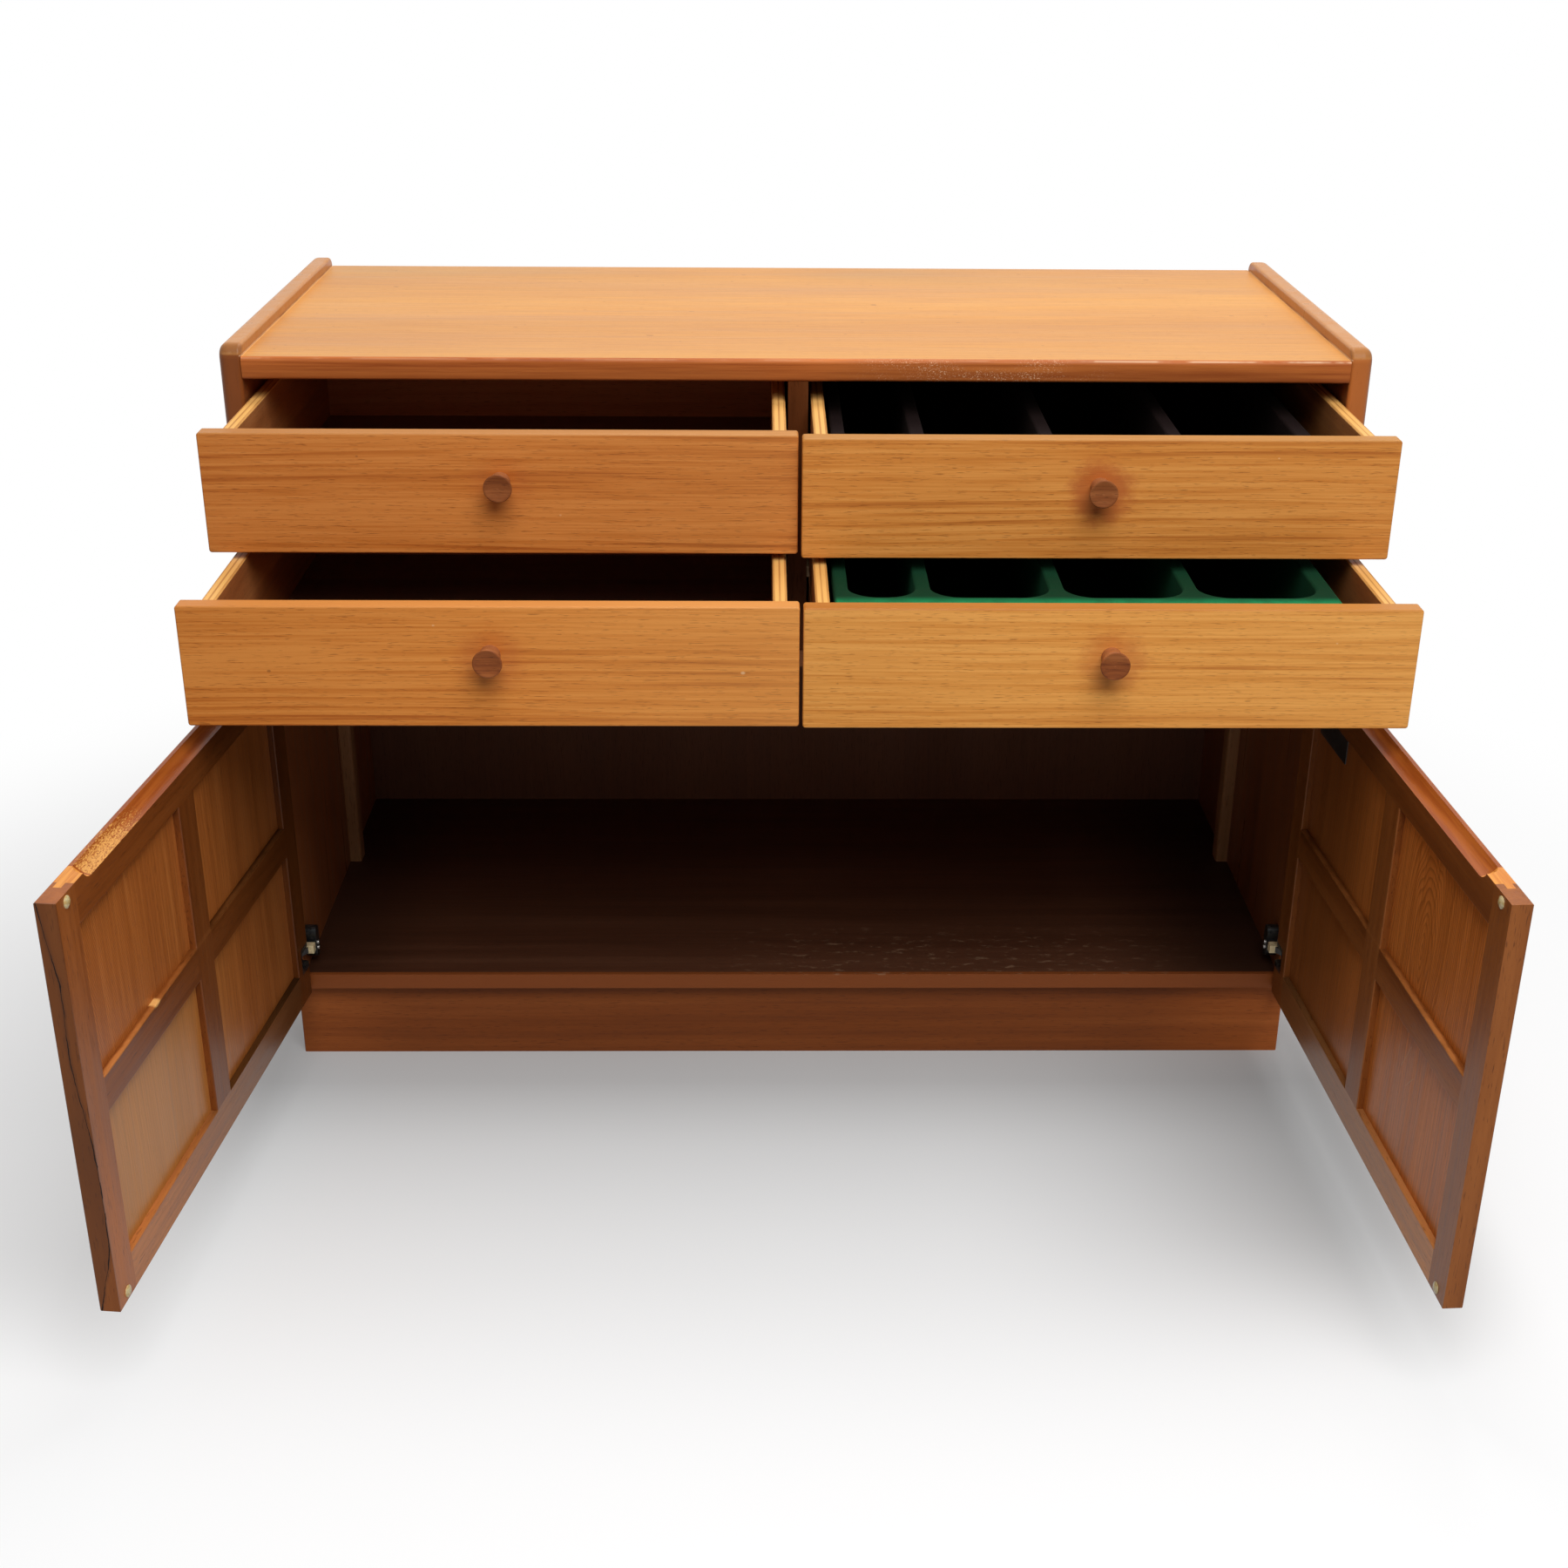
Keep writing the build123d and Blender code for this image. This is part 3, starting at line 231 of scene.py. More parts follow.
def rubs_and_end_shade(tree, place, colour, shine):
    """The cupboard floor's red lipping, painted shade toward its ends, and faint pale rubs near its front
    edge.
    """
    lipping_red, end_shade_brown, rub_pale = (0.30, 0.080, 0.018), (0.018, 0.009, 0.006), (0.55, 0.36, 0.22)
    beside, depth, height = xyz(tree, place)
    lipping = spread(tree, depth, -0.2125, -0.2140)
    near_front = spread(tree, depth, -0.10, -0.15)
    upper_face = spread(tree, height, 0.0985, 0.0995)
    right_of_middle = spread(tree, apart(tree, beside, 0.16), 0.32, 0.05)
    flecks = spread(tree, cloud(tree, place, (60.0, 160.0, 60.0), detail=3.0, rough=0.65), 0.56, 0.70)
    rub = product(tree, near_front, upper_face, right_of_middle, flecks, 0.35)
    # Painted shade: the floor darkens toward both ends, beside the end panels.
    aside = math_of(tree, "MAXIMUM", spread(tree, beside, 0.28, 0.47, 0.0, 0.75),
                    spread(tree, beside, -0.36, -0.48, 0.0, 0.5))
    colour = blend_colour(tree, aside, colour, end_shade_brown)
    colour = blend_colour(tree, product(tree, lipping, 0.9), colour, lipping_red)
    return blend_colour(tree, rub, colour, rub_pale), raised(tree, rub, 0.3, shine)


floor_teak = teak("cupboard_floor_teak", "xyz", (0.072, 0.026, 0.013), (0.108, 0.040, 0.020),
                  (0.140, 0.056, 0.029), seed=8.2, wander=0.012, marks=rubs_and_end_shade)
dress(floor_teak, "bottom_panel")
shelf_teak = teak("shelf_teak", "xyz", (0.22, 0.075, 0.026), (0.33, 0.12, 0.042), (0.42, 0.17, 0.062),
                  seed=9.9)
dress(shelf_teak, "drawer_deck")
# The upright's tones are far darker than the same teak elsewhere: painted shade between the drawers.
upright_teak = teak("upright_teak", "zyx", (0.068, 0.019, 0.005), (0.102, 0.029, 0.008),
                    (0.130, 0.043, 0.012), seed=12.4, specular=0.05)
dress(upright_teak, "centre_divider")


# ==================================================================== end panels
# Solid-edged teak panels that stand above the top. Their upper rims are rounded and rubbed paler
# than the faces, with a thin pale line where the lacquer has worn through on the inner edge. The
# left panel's front edge is painted dark as shade and the right one's light as light, both rim
# corners are painted darker as shade, and the right panel's face inside the cupboard has painted shade.

def rubbed_and_shaded_end(front_edge_painted_tone, corner_painted_shade, inside_shade):
    """One panel's rim, its corner and front edge painted for light and shade, and painted shade on its face
    inside the cupboard.
    """
    rim_pale, corner_shade_brown, inside_shade_brown = (0.61, 0.270, 0.072), (0.24, 0.085, 0.026), (0.040, 0.015, 0.007)
    worn_pale, line_pale = (0.66, 0.40, 0.22), (0.80, 0.55, 0.32)
    line_height = 0.7262

    def marks(tree, place, colour, shine):
        beside, depth, height = xyz(tree, place)
        beside = math_of(tree, "ABSOLUTE", beside)
        inner_face = spread(tree, beside, 0.4945, 0.4940)
        in_cupboard = product(tree, inner_face, spread(tree, height, 0.46, 0.42), inside_shade)
        front = spread(tree, depth, -0.2135, -0.2165)
        rim = spread(tree, height, 0.7255, 0.7305)
        on_top = spread(tree, height, line_height, 0.7285)
        corner = product(tree, spread(tree, depth, -0.203, -0.214), rim, corner_painted_shade)
        joint = spread(tree, apart(tree, height, line_height), 0.0010, 0.0003)
        inner_edge = spread(tree, beside, 0.4952, 0.4942)
        patchy = spread(tree, cloud(tree, place, (6.0, 14.0, 40.0), detail=2.0), 0.35, 0.6)
        line = product(tree, joint, inner_edge, patchy, 0.75)
        worn = spread(tree, cloud(tree, place, (30.0, 18.0, 60.0), (4.0, 0.0, 0.0), 3.0, 0.6), 0.60, 0.72)
        worn = product(tree, worn, rim, 0.28)
        # Painted shade on the face inside the cupboard, low down.
        colour = blend_colour(tree, in_cupboard, colour, inside_shade_brown)
        colour = blend_colour(tree, product(tree, front, 0.85), colour, front_edge_painted_tone)
        colour = blend_colour(tree, product(tree, on_top, 0.75), colour, rim_pale)
        colour = blend_colour(tree, corner, colour, corner_shade_brown)
        colour = blend_colour(tree, worn, colour, worn_pale)
        colour = blend_colour(tree, line, colour, line_pale)
        return colour, raised(tree, worn, 0.3, shine)
    return marks


# The left panel, turned from the light, has a dark front edge and a strong dark corner: painted shade. The
# right one has a light front edge: painted light.
for side, seed, front_edge_painted_tone, corner_painted_shade, inside_shade in (("left", 21.3, (0.210, 0.057, 0.012), 0.80, 0.0),
                                                   ("right", 27.9, (0.49, 0.145, 0.030), 0.55, 0.35)):
    end_teak = teak(f"end_panel_teak_{side}", "zyx", (0.21, 0.060, 0.018), (0.32, 0.100, 0.030),
                    (0.42, 0.150, 0.050), seed=seed, wander=0.012, rough=(0.26, 0.40),
                    marks=rubbed_and_shaded_end(front_edge_painted_tone, corner_painted_shade, inside_shade))
    dress(end_teak, f"side_panel_{side}")


# ==================================================================== top
# One broad veneered panel between the ends, in long leaves of slightly different tone laid side by
# side. Its front edge is a red lipping with a softly rounded nose, scuffed pale right of the middle,
# with painted shade under the rounding and a painted highlight along its upper edge.

def leaf_tones(tree, place, depth, colour):
    """Long leaves of veneer, each a little lighter or darker, with cloudy patches and small dots."""
    pale_leaf, dark_leaf = (0.86, 0.50, 0.22), (0.46, 0.22, 0.085)
    cloud_brown, dot_brown = (0.40, 0.24, 0.11), (0.30, 0.11, 0.04)
    leaf = math_of(tree, "FLOOR", raised(tree, depth, 7.5, 0.35))
    tint = add(tree, "TexWhiteNoise", {"noise_dimensions": "1D"}, W=leaf)
    tint = spread(tree, tint.outputs[0], 0.0, 1.0, -0.5, 0.5, kind="LINEAR")
    lighter = product(tree, math_of(tree, "MAXIMUM", tint, 0.0), 0.30)
    darker = product(tree, math_of(tree, "MAXIMUM", product(tree, tint, -1.0), 0.0), 0.35)
    colour = blend_colour(tree, lighter, colour, pale_leaf)
    colour = blend_colour(tree, darker, colour, dark_leaf)
    cloudy = spread(tree, cloud(tree, place, (2.2, 6.0, 2.0), (3.0, 1.0, 0.0), 2.0), 0.45, 0.75)
    toward_back = spread(tree, depth, 0.05, 0.2)
    colour = blend_colour(tree, product(tree, cloudy, toward_back, 0.45), colour, cloud_brown)
    dots = spread(tree, cloud(tree, place, (70.0, 110.0, 30.0), (9.0, 0.0, 0.0), 1.0), 0.775, 0.80)
    return blend_colour(tree, product(tree, dots, 0.55), colour, dot_brown)


def leaves_and_nose(tree, place, colour, shine):
    """The top's leaves, its lipped nose with painted shade under its rounding, the scuffs on it and a painted
    highlight along its upper edge, and a pale line along both ends.
    """
    nose_underside_shade, scuff_and_highlight_pale, line_gold = (0.13, 0.034, 0.008), (0.84, 0.58, 0.36), (0.85, 0.52, 0.22)
    highlight_height, scuffs_beside = 0.7243, 0.160
    beside, depth, height = xyz(tree, place)
    colour = leaf_tones(tree, place, depth, colour)
    nose = math_of(tree, "MAXIMUM", spread(tree, depth, -0.2135, -0.2155),
                   product(tree, spread(tree, height, 0.722, 0.718), spread(tree, depth, -0.205, -0.212)))
    lipping_grain = cloud(tree, place, (6.0, 30.0, 260.0), detail=3.0, rough=0.6)
    lipping = add(tree, "ValToRGB", Fac=spread(tree, lipping_grain, 0.3, 0.7, kind="LINEAR"))
    lipping.color_ramp.elements[0].color = (0.34, 0.078, 0.015, 1.0)
    lipping.color_ramp.elements[1].color = (0.60, 0.178, 0.038, 1.0)
    # Painted shade: the lipping darkens toward the underside of the nose.
    round_shade_share = spread(tree, height, 0.709, 0.724, 0.35, 0.0)
    lipped = blend_colour(tree, round_shade_share, lipping.outputs[0], nose_underside_shade)
    colour = blend_colour(tree, nose, colour, lipped)
    rubs = cloud(tree, place, (620.0, 900.0, 900.0), (0.0, 2.0, 0.0), 3.0, 0.65)
    clusters = spread(tree, cloud(tree, place, (30.0, 60.0, 60.0), (1.0, 0.0, 4.0), 2.0, 0.5), 0.36, 0.62)
    stretch = spread(tree, apart(tree, beside, scuffs_beside), 0.14, 0.03)
    scuffed = product(tree, spread(tree, rubs, 0.56, 0.66), stretch, nose, clusters)
    # Painted highlight: a broken pale line along the nose's upper edge, stronger to the right.
    edge = spread(tree, apart(tree, height, highlight_height), 0.0009, 0.0003)
    gaps = cloud(tree, place, (26.0, 10.0, 10.0), (7.0, 0.0, 0.0), 3.0, 0.6)
    edge = product(tree, edge, nose, spread(tree, gaps, 0.42, 0.58),
                   spread(tree, beside, 0.15, 0.32, 0.18, 0.85))
    # The pale share holds both the real scuffs and the painted highlight.
    pale = math_of(tree, "MAXIMUM", product(tree, scuffed, 0.8), product(tree, edge, 0.7))
    colour = blend_colour(tree, pale, colour, scuff_and_highlight_pale)
    end_line = product(tree, spread(tree, math_of(tree, "ABSOLUTE", beside), 0.4920, 0.4931),
                       spread(tree, nose, 0.0, 1.0, 0.4, 0.0, kind="LINEAR"))
    colour = blend_colour(tree, end_line, colour, line_gold)
    return colour, raised(tree, pale, 0.3, shine)


top_teak = teak("top_teak", "xyz", (0.555, 0.225, 0.050), (0.65, 0.288, 0.067), (0.735, 0.352, 0.090),
                seed=33.0, wander=0.006, band=9.0, streak=60.0, hair=340.0, pore_depth=0.30,
                rough=(0.36, 0.48), weights=(0.34, 0.30, 0.36), marks=leaves_and_nose)
dress(top_teak, "top_panel")


# ==================================================================== back board and nails
# Thin brown board let into rebates in the end panels and pinned to the shelf and the floor with
# small round-headed steel nails. It is sealed, not polished.

back_wood = teak("back_board_wood", "zxy", (0.135, 0.052, 0.026), (0.165, 0.065, 0.032),
                 (0.195, 0.082, 0.041), seed=41.0, band=10.0, streak=55.0, rough=(0.55, 0.7), specular=0.25)
dress(back_wood, "back_panel")


def mottled(name, density, colours, colour_range, roughness, detail=3.0, rough=0.5):
    """A finish that drifts between two colours and two roughnesses in spots of one size."""
    made, tree, shader = new_finish(name)
    spots = cloud(tree, piece_space(tree), (density, density, density), detail=detail, rough=rough)
    colour = blend_colour(tree, spread(tree, spots, *colour_range), *colours)
    tree.links.new(colour, shader.inputs["Base Color"])
    tree.links.new(spread(tree, spots, 0.3, 0.7, *roughness, kind="LINEAR"), shader.inputs["Roughness"])
    return made, shader


steel, shader = mottled("bright_steel", 500.0, ((0.62, 0.60, 0.57), (0.31, 0.252, 0.2052)),
                        (0.45, 0.7), (0.28, 0.48))
shader.inputs["Metallic"].default_value = 1.0
dress(steel, "back_nails", "runner_screws", "hinge_screws")


# ==================================================================== shelf bearers
# Two upright strips glued to the end panels inside the cupboard, of a paler wood than the panels
# behind them. Their inner edges are rounded.

bearer_wood = teak("bearer_wood", "zyx", (0.27, 0.120, 0.046), (0.36, 0.170, 0.068), (0.44, 0.225, 0.100),
                   seed=47.0, streak=110.0, rough=(0.42, 0.55))
dress(bearer_wood, "shelf_bearers")


# ==================================================================== drawer runners
# Hardwood strips screwed to the end panels and the upright. The drawers hang on them by grooves in
# their sides, so their faces are rubbed smooth and slightly waxy.

runner_wood = teak("runner_wood", "yzx", (0.44, 0.26, 0.13), (0.56, 0.36, 0.19), (0.66, 0.46, 0.27),
                   seed=52.0, streak=120.0, rough=(0.30, 0.42))
dress(runner_wood, "runners_outer", "runners_centre")


# ==================================================================== drawer boxes
# Sides and back of thin lacquered ply, the bottom a thin veneered board in grooves. The ply shows
# as fine light and dark stripes along the top edge of each side.

def ply_edge(box_name):
    """The layers of the ply on the top edges of one drawer's two sides."""
    low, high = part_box(box_name)
    side_thickness, layer_count = 0.012, 5
    light_layer, dark_layer = (0.92, 0.520, 0.150), (0.36, 0.115, 0.022)

    def layers(tree, place, colour, shine):
        beside, _, height = xyz(tree, place)
        inward = math_of(tree, "MINIMUM", less(tree, beside, low[0]), less(tree, high[0], beside))
        layer = product(tree, inward, 1.0 / side_thickness)
        wave = math_of(tree, "SINE", product(tree, layer, layer_count * math.tau * 0.5))
        rim = spread(tree, height, high[2] - 0.0014, high[2] - 0.0006)
        fibre = spread(tree, cloud(tree, place, (600.0, 12.0, 200.0), detail=2.0), 0.3, 0.7, 0.55, 1.0)
        dark = product(tree, spread(tree, wave, 0.25, 0.75), rim, fibre)
        colour = blend_colour(tree, product(tree, rim, 0.80), colour, light_layer)
        colour = blend_colour(tree, product(tree, dark, 0.72), colour, dark_layer)
        return colour, raised(tree, dark, 0.1, shine)
    return layers


drawers = ("drawer_upper_left", "drawer_upper_right", "drawer_lower_left", "drawer_lower_right")
for index, drawer in enumerate(drawers):
    side_ply = teak(f"{drawer}_side_ply", "yzx", (0.30, 0.095, 0.026), (0.42, 0.150, 0.045),
                    (0.53, 0.22, 0.075), seed=60.0 + index * 3.3, wander=0.008, rough=(0.34, 0.46),
                    marks=ply_edge(f"{drawer}_sides"))
    dress(side_ply, f"{drawer}_sides")
    back_ply = teak(f"{drawer}_back_ply", "xzy", (0.34, 0.13, 0.050), (0.46, 0.19, 0.075), (0.56, 0.26, 0.11),
                    seed=71.0 + index * 2.7, rough=(0.38, 0.5))
    dress(back_ply, f"{drawer}_back")
    base_board = teak(f"{drawer}_bottom_board", "xyz", (0.18, 0.090, 0.052), (0.25, 0.128, 0.076),
                      (0.31, 0.165, 0.102), seed=83.0 + index * 1.9, rough=(0.45, 0.6))
    dress(base_board, f"{drawer}_bottom")
    dress(steel, f"{drawer}_knob_screw")


# ==================================================================== drawer fronts
# Veneered fronts, each cut from the same run of straight-grained teak with brown lines that drift
# gently up and down, lipped in the same wood. Round each knob the polish has gone red-brown from
# years of handling. Each front is painted browner to the left and golder to the right, and its top
# edge darker: painted shade and light.

def length_of(tree, beside, height):
    """The length of a step sideways and upward."""
    step = add(tree, "CombineXYZ", X=beside, Y=0.0, Z=height)
    return add(tree, "VectorMath", {"operation": "LENGTH"}, i0=step.outputs[0]).outputs["Value"]


def handled_front(drawer, halo, dents, drift, top_edge_shade):
    """Red-brown polish round the knob, a top edge painted darker as shade, a painted drift from shade at the
    left to light at the right, and a few dents.
    """
    low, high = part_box(f"{drawer}_front")
    knob_low, knob_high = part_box(f"{drawer}_knob")
    halo_x = (knob_low[0] + knob_high[0]) / 2 + 0.001
    halo_z = (knob_low[2] + knob_high[2]) / 2 - 0.005
    halo_edge, halo_heart = 0.035, 0.016
    handled_red, gold, brown = (0.46, 0.115, 0.026), (1.0, 0.60, 0.20), (0.18, 0.03, 0.0)
    dent_pale, dent_dark = (0.85, 0.60, 0.34), (0.13, 0.045, 0.016)

    def marks(tree, place, colour, shine):
        beside, _, height = xyz(tree, place)
        ragged = cloud(tree, place, (60.0, 60.0, 120.0), detail=4.0, rough=0.7)
        far = length_of(tree, less(tree, beside, halo_x), less(tree, height, halo_z))
        far = raised(tree, less(tree, ragged, 0.5), 0.030, far)
        patch = product(tree, spread(tree, far, halo_edge, halo_heart), halo)
        colour = blend_colour(tree, patch, colour, handled_red)
        shine = raised(tree, patch, -0.08, shine)
        # Painted shade: the top edge is darkened against the light that falls on it from above.
        rim = spread(tree, height, high[2] - 0.0016, high[2] - 0.0004)
        colour = blend_colour(tree, product(tree, rim, 0.8), colour, top_edge_shade)
        # Painted light and shade: the front grows golder to the right and browner to the left, as the light
        # falls.
        toward_right = spread(tree, beside, low[0], high[0], -drift, drift, kind="LINEAR")
        toward_left = product(tree, toward_right, -1.0)
        colour = blend_colour(tree, math_of(tree, "MAXIMUM", toward_right, 0.0), colour, gold)
        colour = blend_colour(tree, math_of(tree, "MAXIMUM", toward_left, 0.0), colour, brown)
        for dent_x, dent_z, size, strength in dents:
            up_stretched = product(tree, less(tree, height, dent_z), 1.4)
            reach = length_of(tree, less(tree, beside, dent_x), up_stretched)
            dent = product(tree, spread(tree, reach, size, size * 0.4), abs(strength))
            colour = blend_colour(tree, dent, colour, dent_pale if strength > 0 else dent_dark)
        return colour, shine
    return marks


def drifting_lines(contrast, seed):
    """Thin brown growth lines, some crowded together, that drift across a front."""
    lines_per_metre, line_drift = 105.0, 4.5

    def figure(tree, grain, tone):
        slow = cloud(tree, grain, (1.1, 9.0, 9.0), (seed, 4.0, 0.0), 1.0)
        across = xyz(tree, grain)[1]
        rings = raised(tree, slow, line_drift, product(tree, across, lines_per_metre))
        saw = math_of(tree, "FRACT", rings)
        line = math_of(tree, "MAXIMUM", spread(tree, saw, 0.35, 0.97), spread(tree, saw, 0.0, 0.06, 1.0, 0.0))
        crowd = spread(tree, cloud(tree, grain, (1.4, 20.0, 20.0), (0.0, seed, 3.0), 2.0), 0.42, 0.62)
        return raised(tree, product(tree, line, crowd), -1.25 * contrast, tone)
    return figure


# Each dent is given as its place sideways and upward, its size, and its strength, pale or dark.
# Each front also carries a painted left-to-right drift of light and shade and a top edge darkened as painted
# shade.
front_facts = {
    "drawer_upper_left": dict(
        seed=101.0, contrast=0.15, halo=0.22, drift=0.07, share=(0.95, 0.81, 0.70), top_edge_shade=(0.45, 0.195, 0.053),
        dents=((-0.375, 0.668, 0.0016, -0.4), (-0.205, 0.617, 0.0014, 0.3))),
    "drawer_upper_right": dict(
        seed=113.0, contrast=0.09, halo=0.80, drift=0.02, share=(1.07, 1.06, 0.95), top_edge_shade=(0.44, 0.200, 0.045),
        dents=((0.085, 0.670, 0.0014, -0.35), (0.405, 0.672, 0.0012, 0.4))),
    "drawer_lower_left": dict(
        seed=127.0, contrast=0.10, halo=0.36, drift=0.13, share=(1.08, 0.96, 0.77), top_edge_shade=(0.58, 0.225, 0.052),
        dents=((-0.437, 0.521, 0.0022, -0.5), (-0.048, 0.520, 0.0024, 0.55), (-0.300, 0.561, 0.0015, 0.4))),
    "drawer_lower_right": dict(
        seed=139.0, contrast=0.08, halo=0.42, drift=0.10, share=(1.24, 1.34, 1.25), top_edge_shade=(0.37, 0.120, 0.014),
        dents=((0.030, 0.512, 0.0014, -0.3), (0.440, 0.548, 0.0012, 0.4)))}


def shared(share, tones):
    """Three tones, each colour part multiplied by a share of its own."""
    return [tuple(part * value for part, value in zip(share, tone)) for tone in tones]


for drawer, facts in front_facts.items():
    tones = shared(facts["share"], ((0.43, 0.130, 0.023), (0.60, 0.220, 0.044), (0.72, 0.305, 0.078)))
    front_teak = teak(f"{drawer}_front_teak", "xzy", *tones, seed=facts["seed"], wander=0.007, band=16.0,
                      streak=150.0, hair=560.0, rough=(0.38, 0.5), weights=(0.40, 0.34, 0.40),
                      figure=drifting_lines(facts["contrast"], facts["seed"]),
                      marks=handled_front(drawer, facts["halo"], facts["dents"], facts["drift"],
                                          facts["top_edge_shade"]))
    dress(front_teak, f"{drawer}_front")


# ==================================================================== knobs
# Turned dark hardwood knobs, screwed on from inside the front. The dished face shows straight
# grain from side to side, and the waist behind it is paler where fingers have rubbed it.

for index, drawer in enumerate(drawers):
    knob_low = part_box(f"{drawer}_knob")[0]

    def rubbed_waist(tree, place, colour, shine, face_y=knob_low[1]):
        """Paler wood on the knob's waist, behind its face."""
        waist_pale = (0.42, 0.16, 0.06)
        behind = spread(tree, xyz(tree, place)[1], face_y + 0.0012, face_y + 0.004)
        return blend_colour(tree, product(tree, behind, 0.6), colour, waist_pale), shine

    lift = 1.3 if "lower" in drawer else 1.0
    knob_tones = shared((lift, lift, lift),
                        ((0.115, 0.027, 0.007), (0.230, 0.066, 0.017), (0.350, 0.118, 0.036)))
    knob_wood = teak(f"{drawer}_knob_wood", "xzy", *knob_tones, seed=150.0 + index * 4.1, wander=0.002,
                     band=60.0, streak=360.0, hair=900.0, pore_depth=0.6, rough=(0.40, 0.52),
                     marks=rubbed_waist)
    dress(knob_wood, f"{drawer}_knob")


# ==================================================================== cutlery trays
# Thin moulded trays with a soft flocked coat: green in the lower drawer, faded black in the upper
# one. Behind the front rim each tray is painted darker toward the back: painted shade from what stands over
# it.

def flock(name, base, lit, worn, tray):
    """Short fibres standing on a moulding, lighter in clumps and painted darker behind the front rim as
    shade.
    """
    tray_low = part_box(tray)[0]
    deep = (base[0] * 0.5, base[1] * 0.17, base[2] * 0.2)
    shade_from, shade_full_from = tray_low[1] + 0.012, tray_low[1] + 0.029
    made, tree, shader = new_finish(name)
    place = piece_space(tree)
    fibres = cloud(tree, place, (1400.0, 1400.0, 1400.0), detail=2.0)
    clumps = cloud(tree, place, (55.0, 55.0, 55.0), detail=3.0, rough=0.6)
    colour = blend_colour(tree, spread(tree, clumps, 0.3, 0.7), base, lit)
    colour = blend_colour(tree, product(tree, spread(tree, fibres, 0.5, 0.75), 0.35), colour, worn)
    # Painted shade: behind the front rim the flock darkens toward the back.
    painted_shade = spread(tree, xyz(tree, place)[1], shade_from, shade_full_from, 0.0, 0.95)
    colour = blend_colour(tree, painted_shade, colour, deep)
    bump = add(tree, "Bump", Height=fibres, Strength=0.5, Distance=0.0004)
    tree.links.new(colour, shader.inputs["Base Color"])
    tree.links.new(bump.outputs[0], shader.inputs["Normal"])
    tree.links.new(spread(tree, clumps, 0.3, 0.7, 0.85, 0.98, kind="LINEAR"), shader.inputs["Roughness"])
    shader.inputs["Specular IOR Level"].default_value = 0.1
    shader.inputs["Sheen Weight"].default_value = 0.07
    shader.inputs["Sheen Roughness"].default_value = 0.45
    shader.inputs["Sheen Tint"].default_value = (*worn, 1.0)
    dress(made, tray)


flock("green_flock", (0.005, 0.125, 0.043), (0.008, 0.200, 0.070), (0.06, 0.36, 0.17), "tray_lower")
flock("black_flock", (0.010, 0.008, 0.007), (0.018, 0.014, 0.011), (0.075, 0.052, 0.040), "tray_upper")


# ==================================================================== doors
# Framed doors: red-brown stiles, rails and bars round four thin veneered panels. The top rail is
# scooped for the fingers and its tongue shows orange where it runs into the stile. Both doors are
# painted darker toward their hinges, where the drawers' shade falls, and lighter toward their free
# edges: painted shade and light. Their lower parts carry a painted sheen.

joints = {joint["name"]: joint for joint in frame["joints"]}
door_pins = {side: tuple(joints[f"door_{side}_hinge"]["pos_m"]) for side in ("left", "right")}
door_turns = {"left": math.radians(-95.9), "right": math.radians(92.7)}


def out_along(tree, place, away):
    """How far along a door from its pin, across its thickness, and up from its middle."""
    beside, across, up = xyz(tree, place)
    return product(tree, beside, away), across, up


def within(tree, value, low, high, soft):
    """1 between low and high, falling to 0 over a soft border outside them."""
    return product(tree, spread(tree, value, low - soft, low), spread(tree, value, high + soft, high))


def facing_up(tree):
    """1 on faces that look up, 0 on upright ones."""
    return spread(tree, xyz(tree, add(tree, "NewGeometry").outputs["Normal"])[2], 0.2, 0.55)


def frame_painted_shade(hinge_shade_share, free_light_share, away, then=None):
    """Frame wood with painted shade toward the hinge, most of all on its upward ledges, and painted light
    toward the free edge.
    """
    ledge_shade_loss = -0.70 if away > 0 else -0.30

    def marks(tree, place, colour, shine):
        along = out_along(tree, place, away)[0]
        share = spread(tree, along, 0.05, 0.46, hinge_shade_share, free_light_share, kind="LINEAR")
        hinge_ledge_shade = product(tree, facing_up(tree), spread(tree, along, 0.30, 0.22))
        colour = times(tree, share, colour)
        colour = times(tree, raised(tree, hinge_ledge_shade, ledge_shade_loss, 1.0), colour)
        return then(tree, place, colour, shine) if then else (colour, shine)
    return marks


def crown(side, away, seed):
    """Fine straight growth lines; the upper panel by the free edge is crown-cut."""
    left_crown_x, right_crown_x, right_crown_z, lines_per_metre = 0.352, 0.335, 0.052, 230.0

    def figure(tree, grain, tone):
        up, across, _ = xyz(tree, grain)
        along = product(tree, across, away)
        ripple = cloud(tree, grain, (7.0, 22.0, 4.0), (seed, 0.0, 0.0), 2.0)
        straight = raised(tree, along, lines_per_metre, product(tree, ripple, 5.0))
        if side == "left":
            aside = apart(tree, along, left_crown_x)
            slope = product(tree, math_of(tree, "POWER", aside, 0.85), -330.0)
            rippled = raised(tree, ripple, 4.0, slope)
            nested = raised(tree, up, 120.0, rippled)
        else:
            ring = length_of(tree, product(tree, less(tree, along, right_crown_x), 300.0),
                             product(tree, less(tree, up, right_crown_z), 105.0))
            nested = raised(tree, ripple, 9.0, ring)
        cut = product(tree, within(tree, along, 0.258, 0.47, 0.002), within(tree, up, 0.008, 0.16, 0.002))
        rings = add(tree, "Mix", {"data_type": "FLOAT"}, i0=cut, i2=straight, i3=nested).outputs[0]
        saw = math_of(tree, "FRACT", rings)
        line = math_of(tree, "MAXIMUM", spread(tree, saw, 0.45, 0.97), spread(tree, saw, 0.0, 0.06, 1.0, 0.0))
        strength = spread(tree, cut, 0.0, 1.0, -0.07, -0.16, kind="LINEAR")
        return raised(tree, line, strength, tone)
    return figure


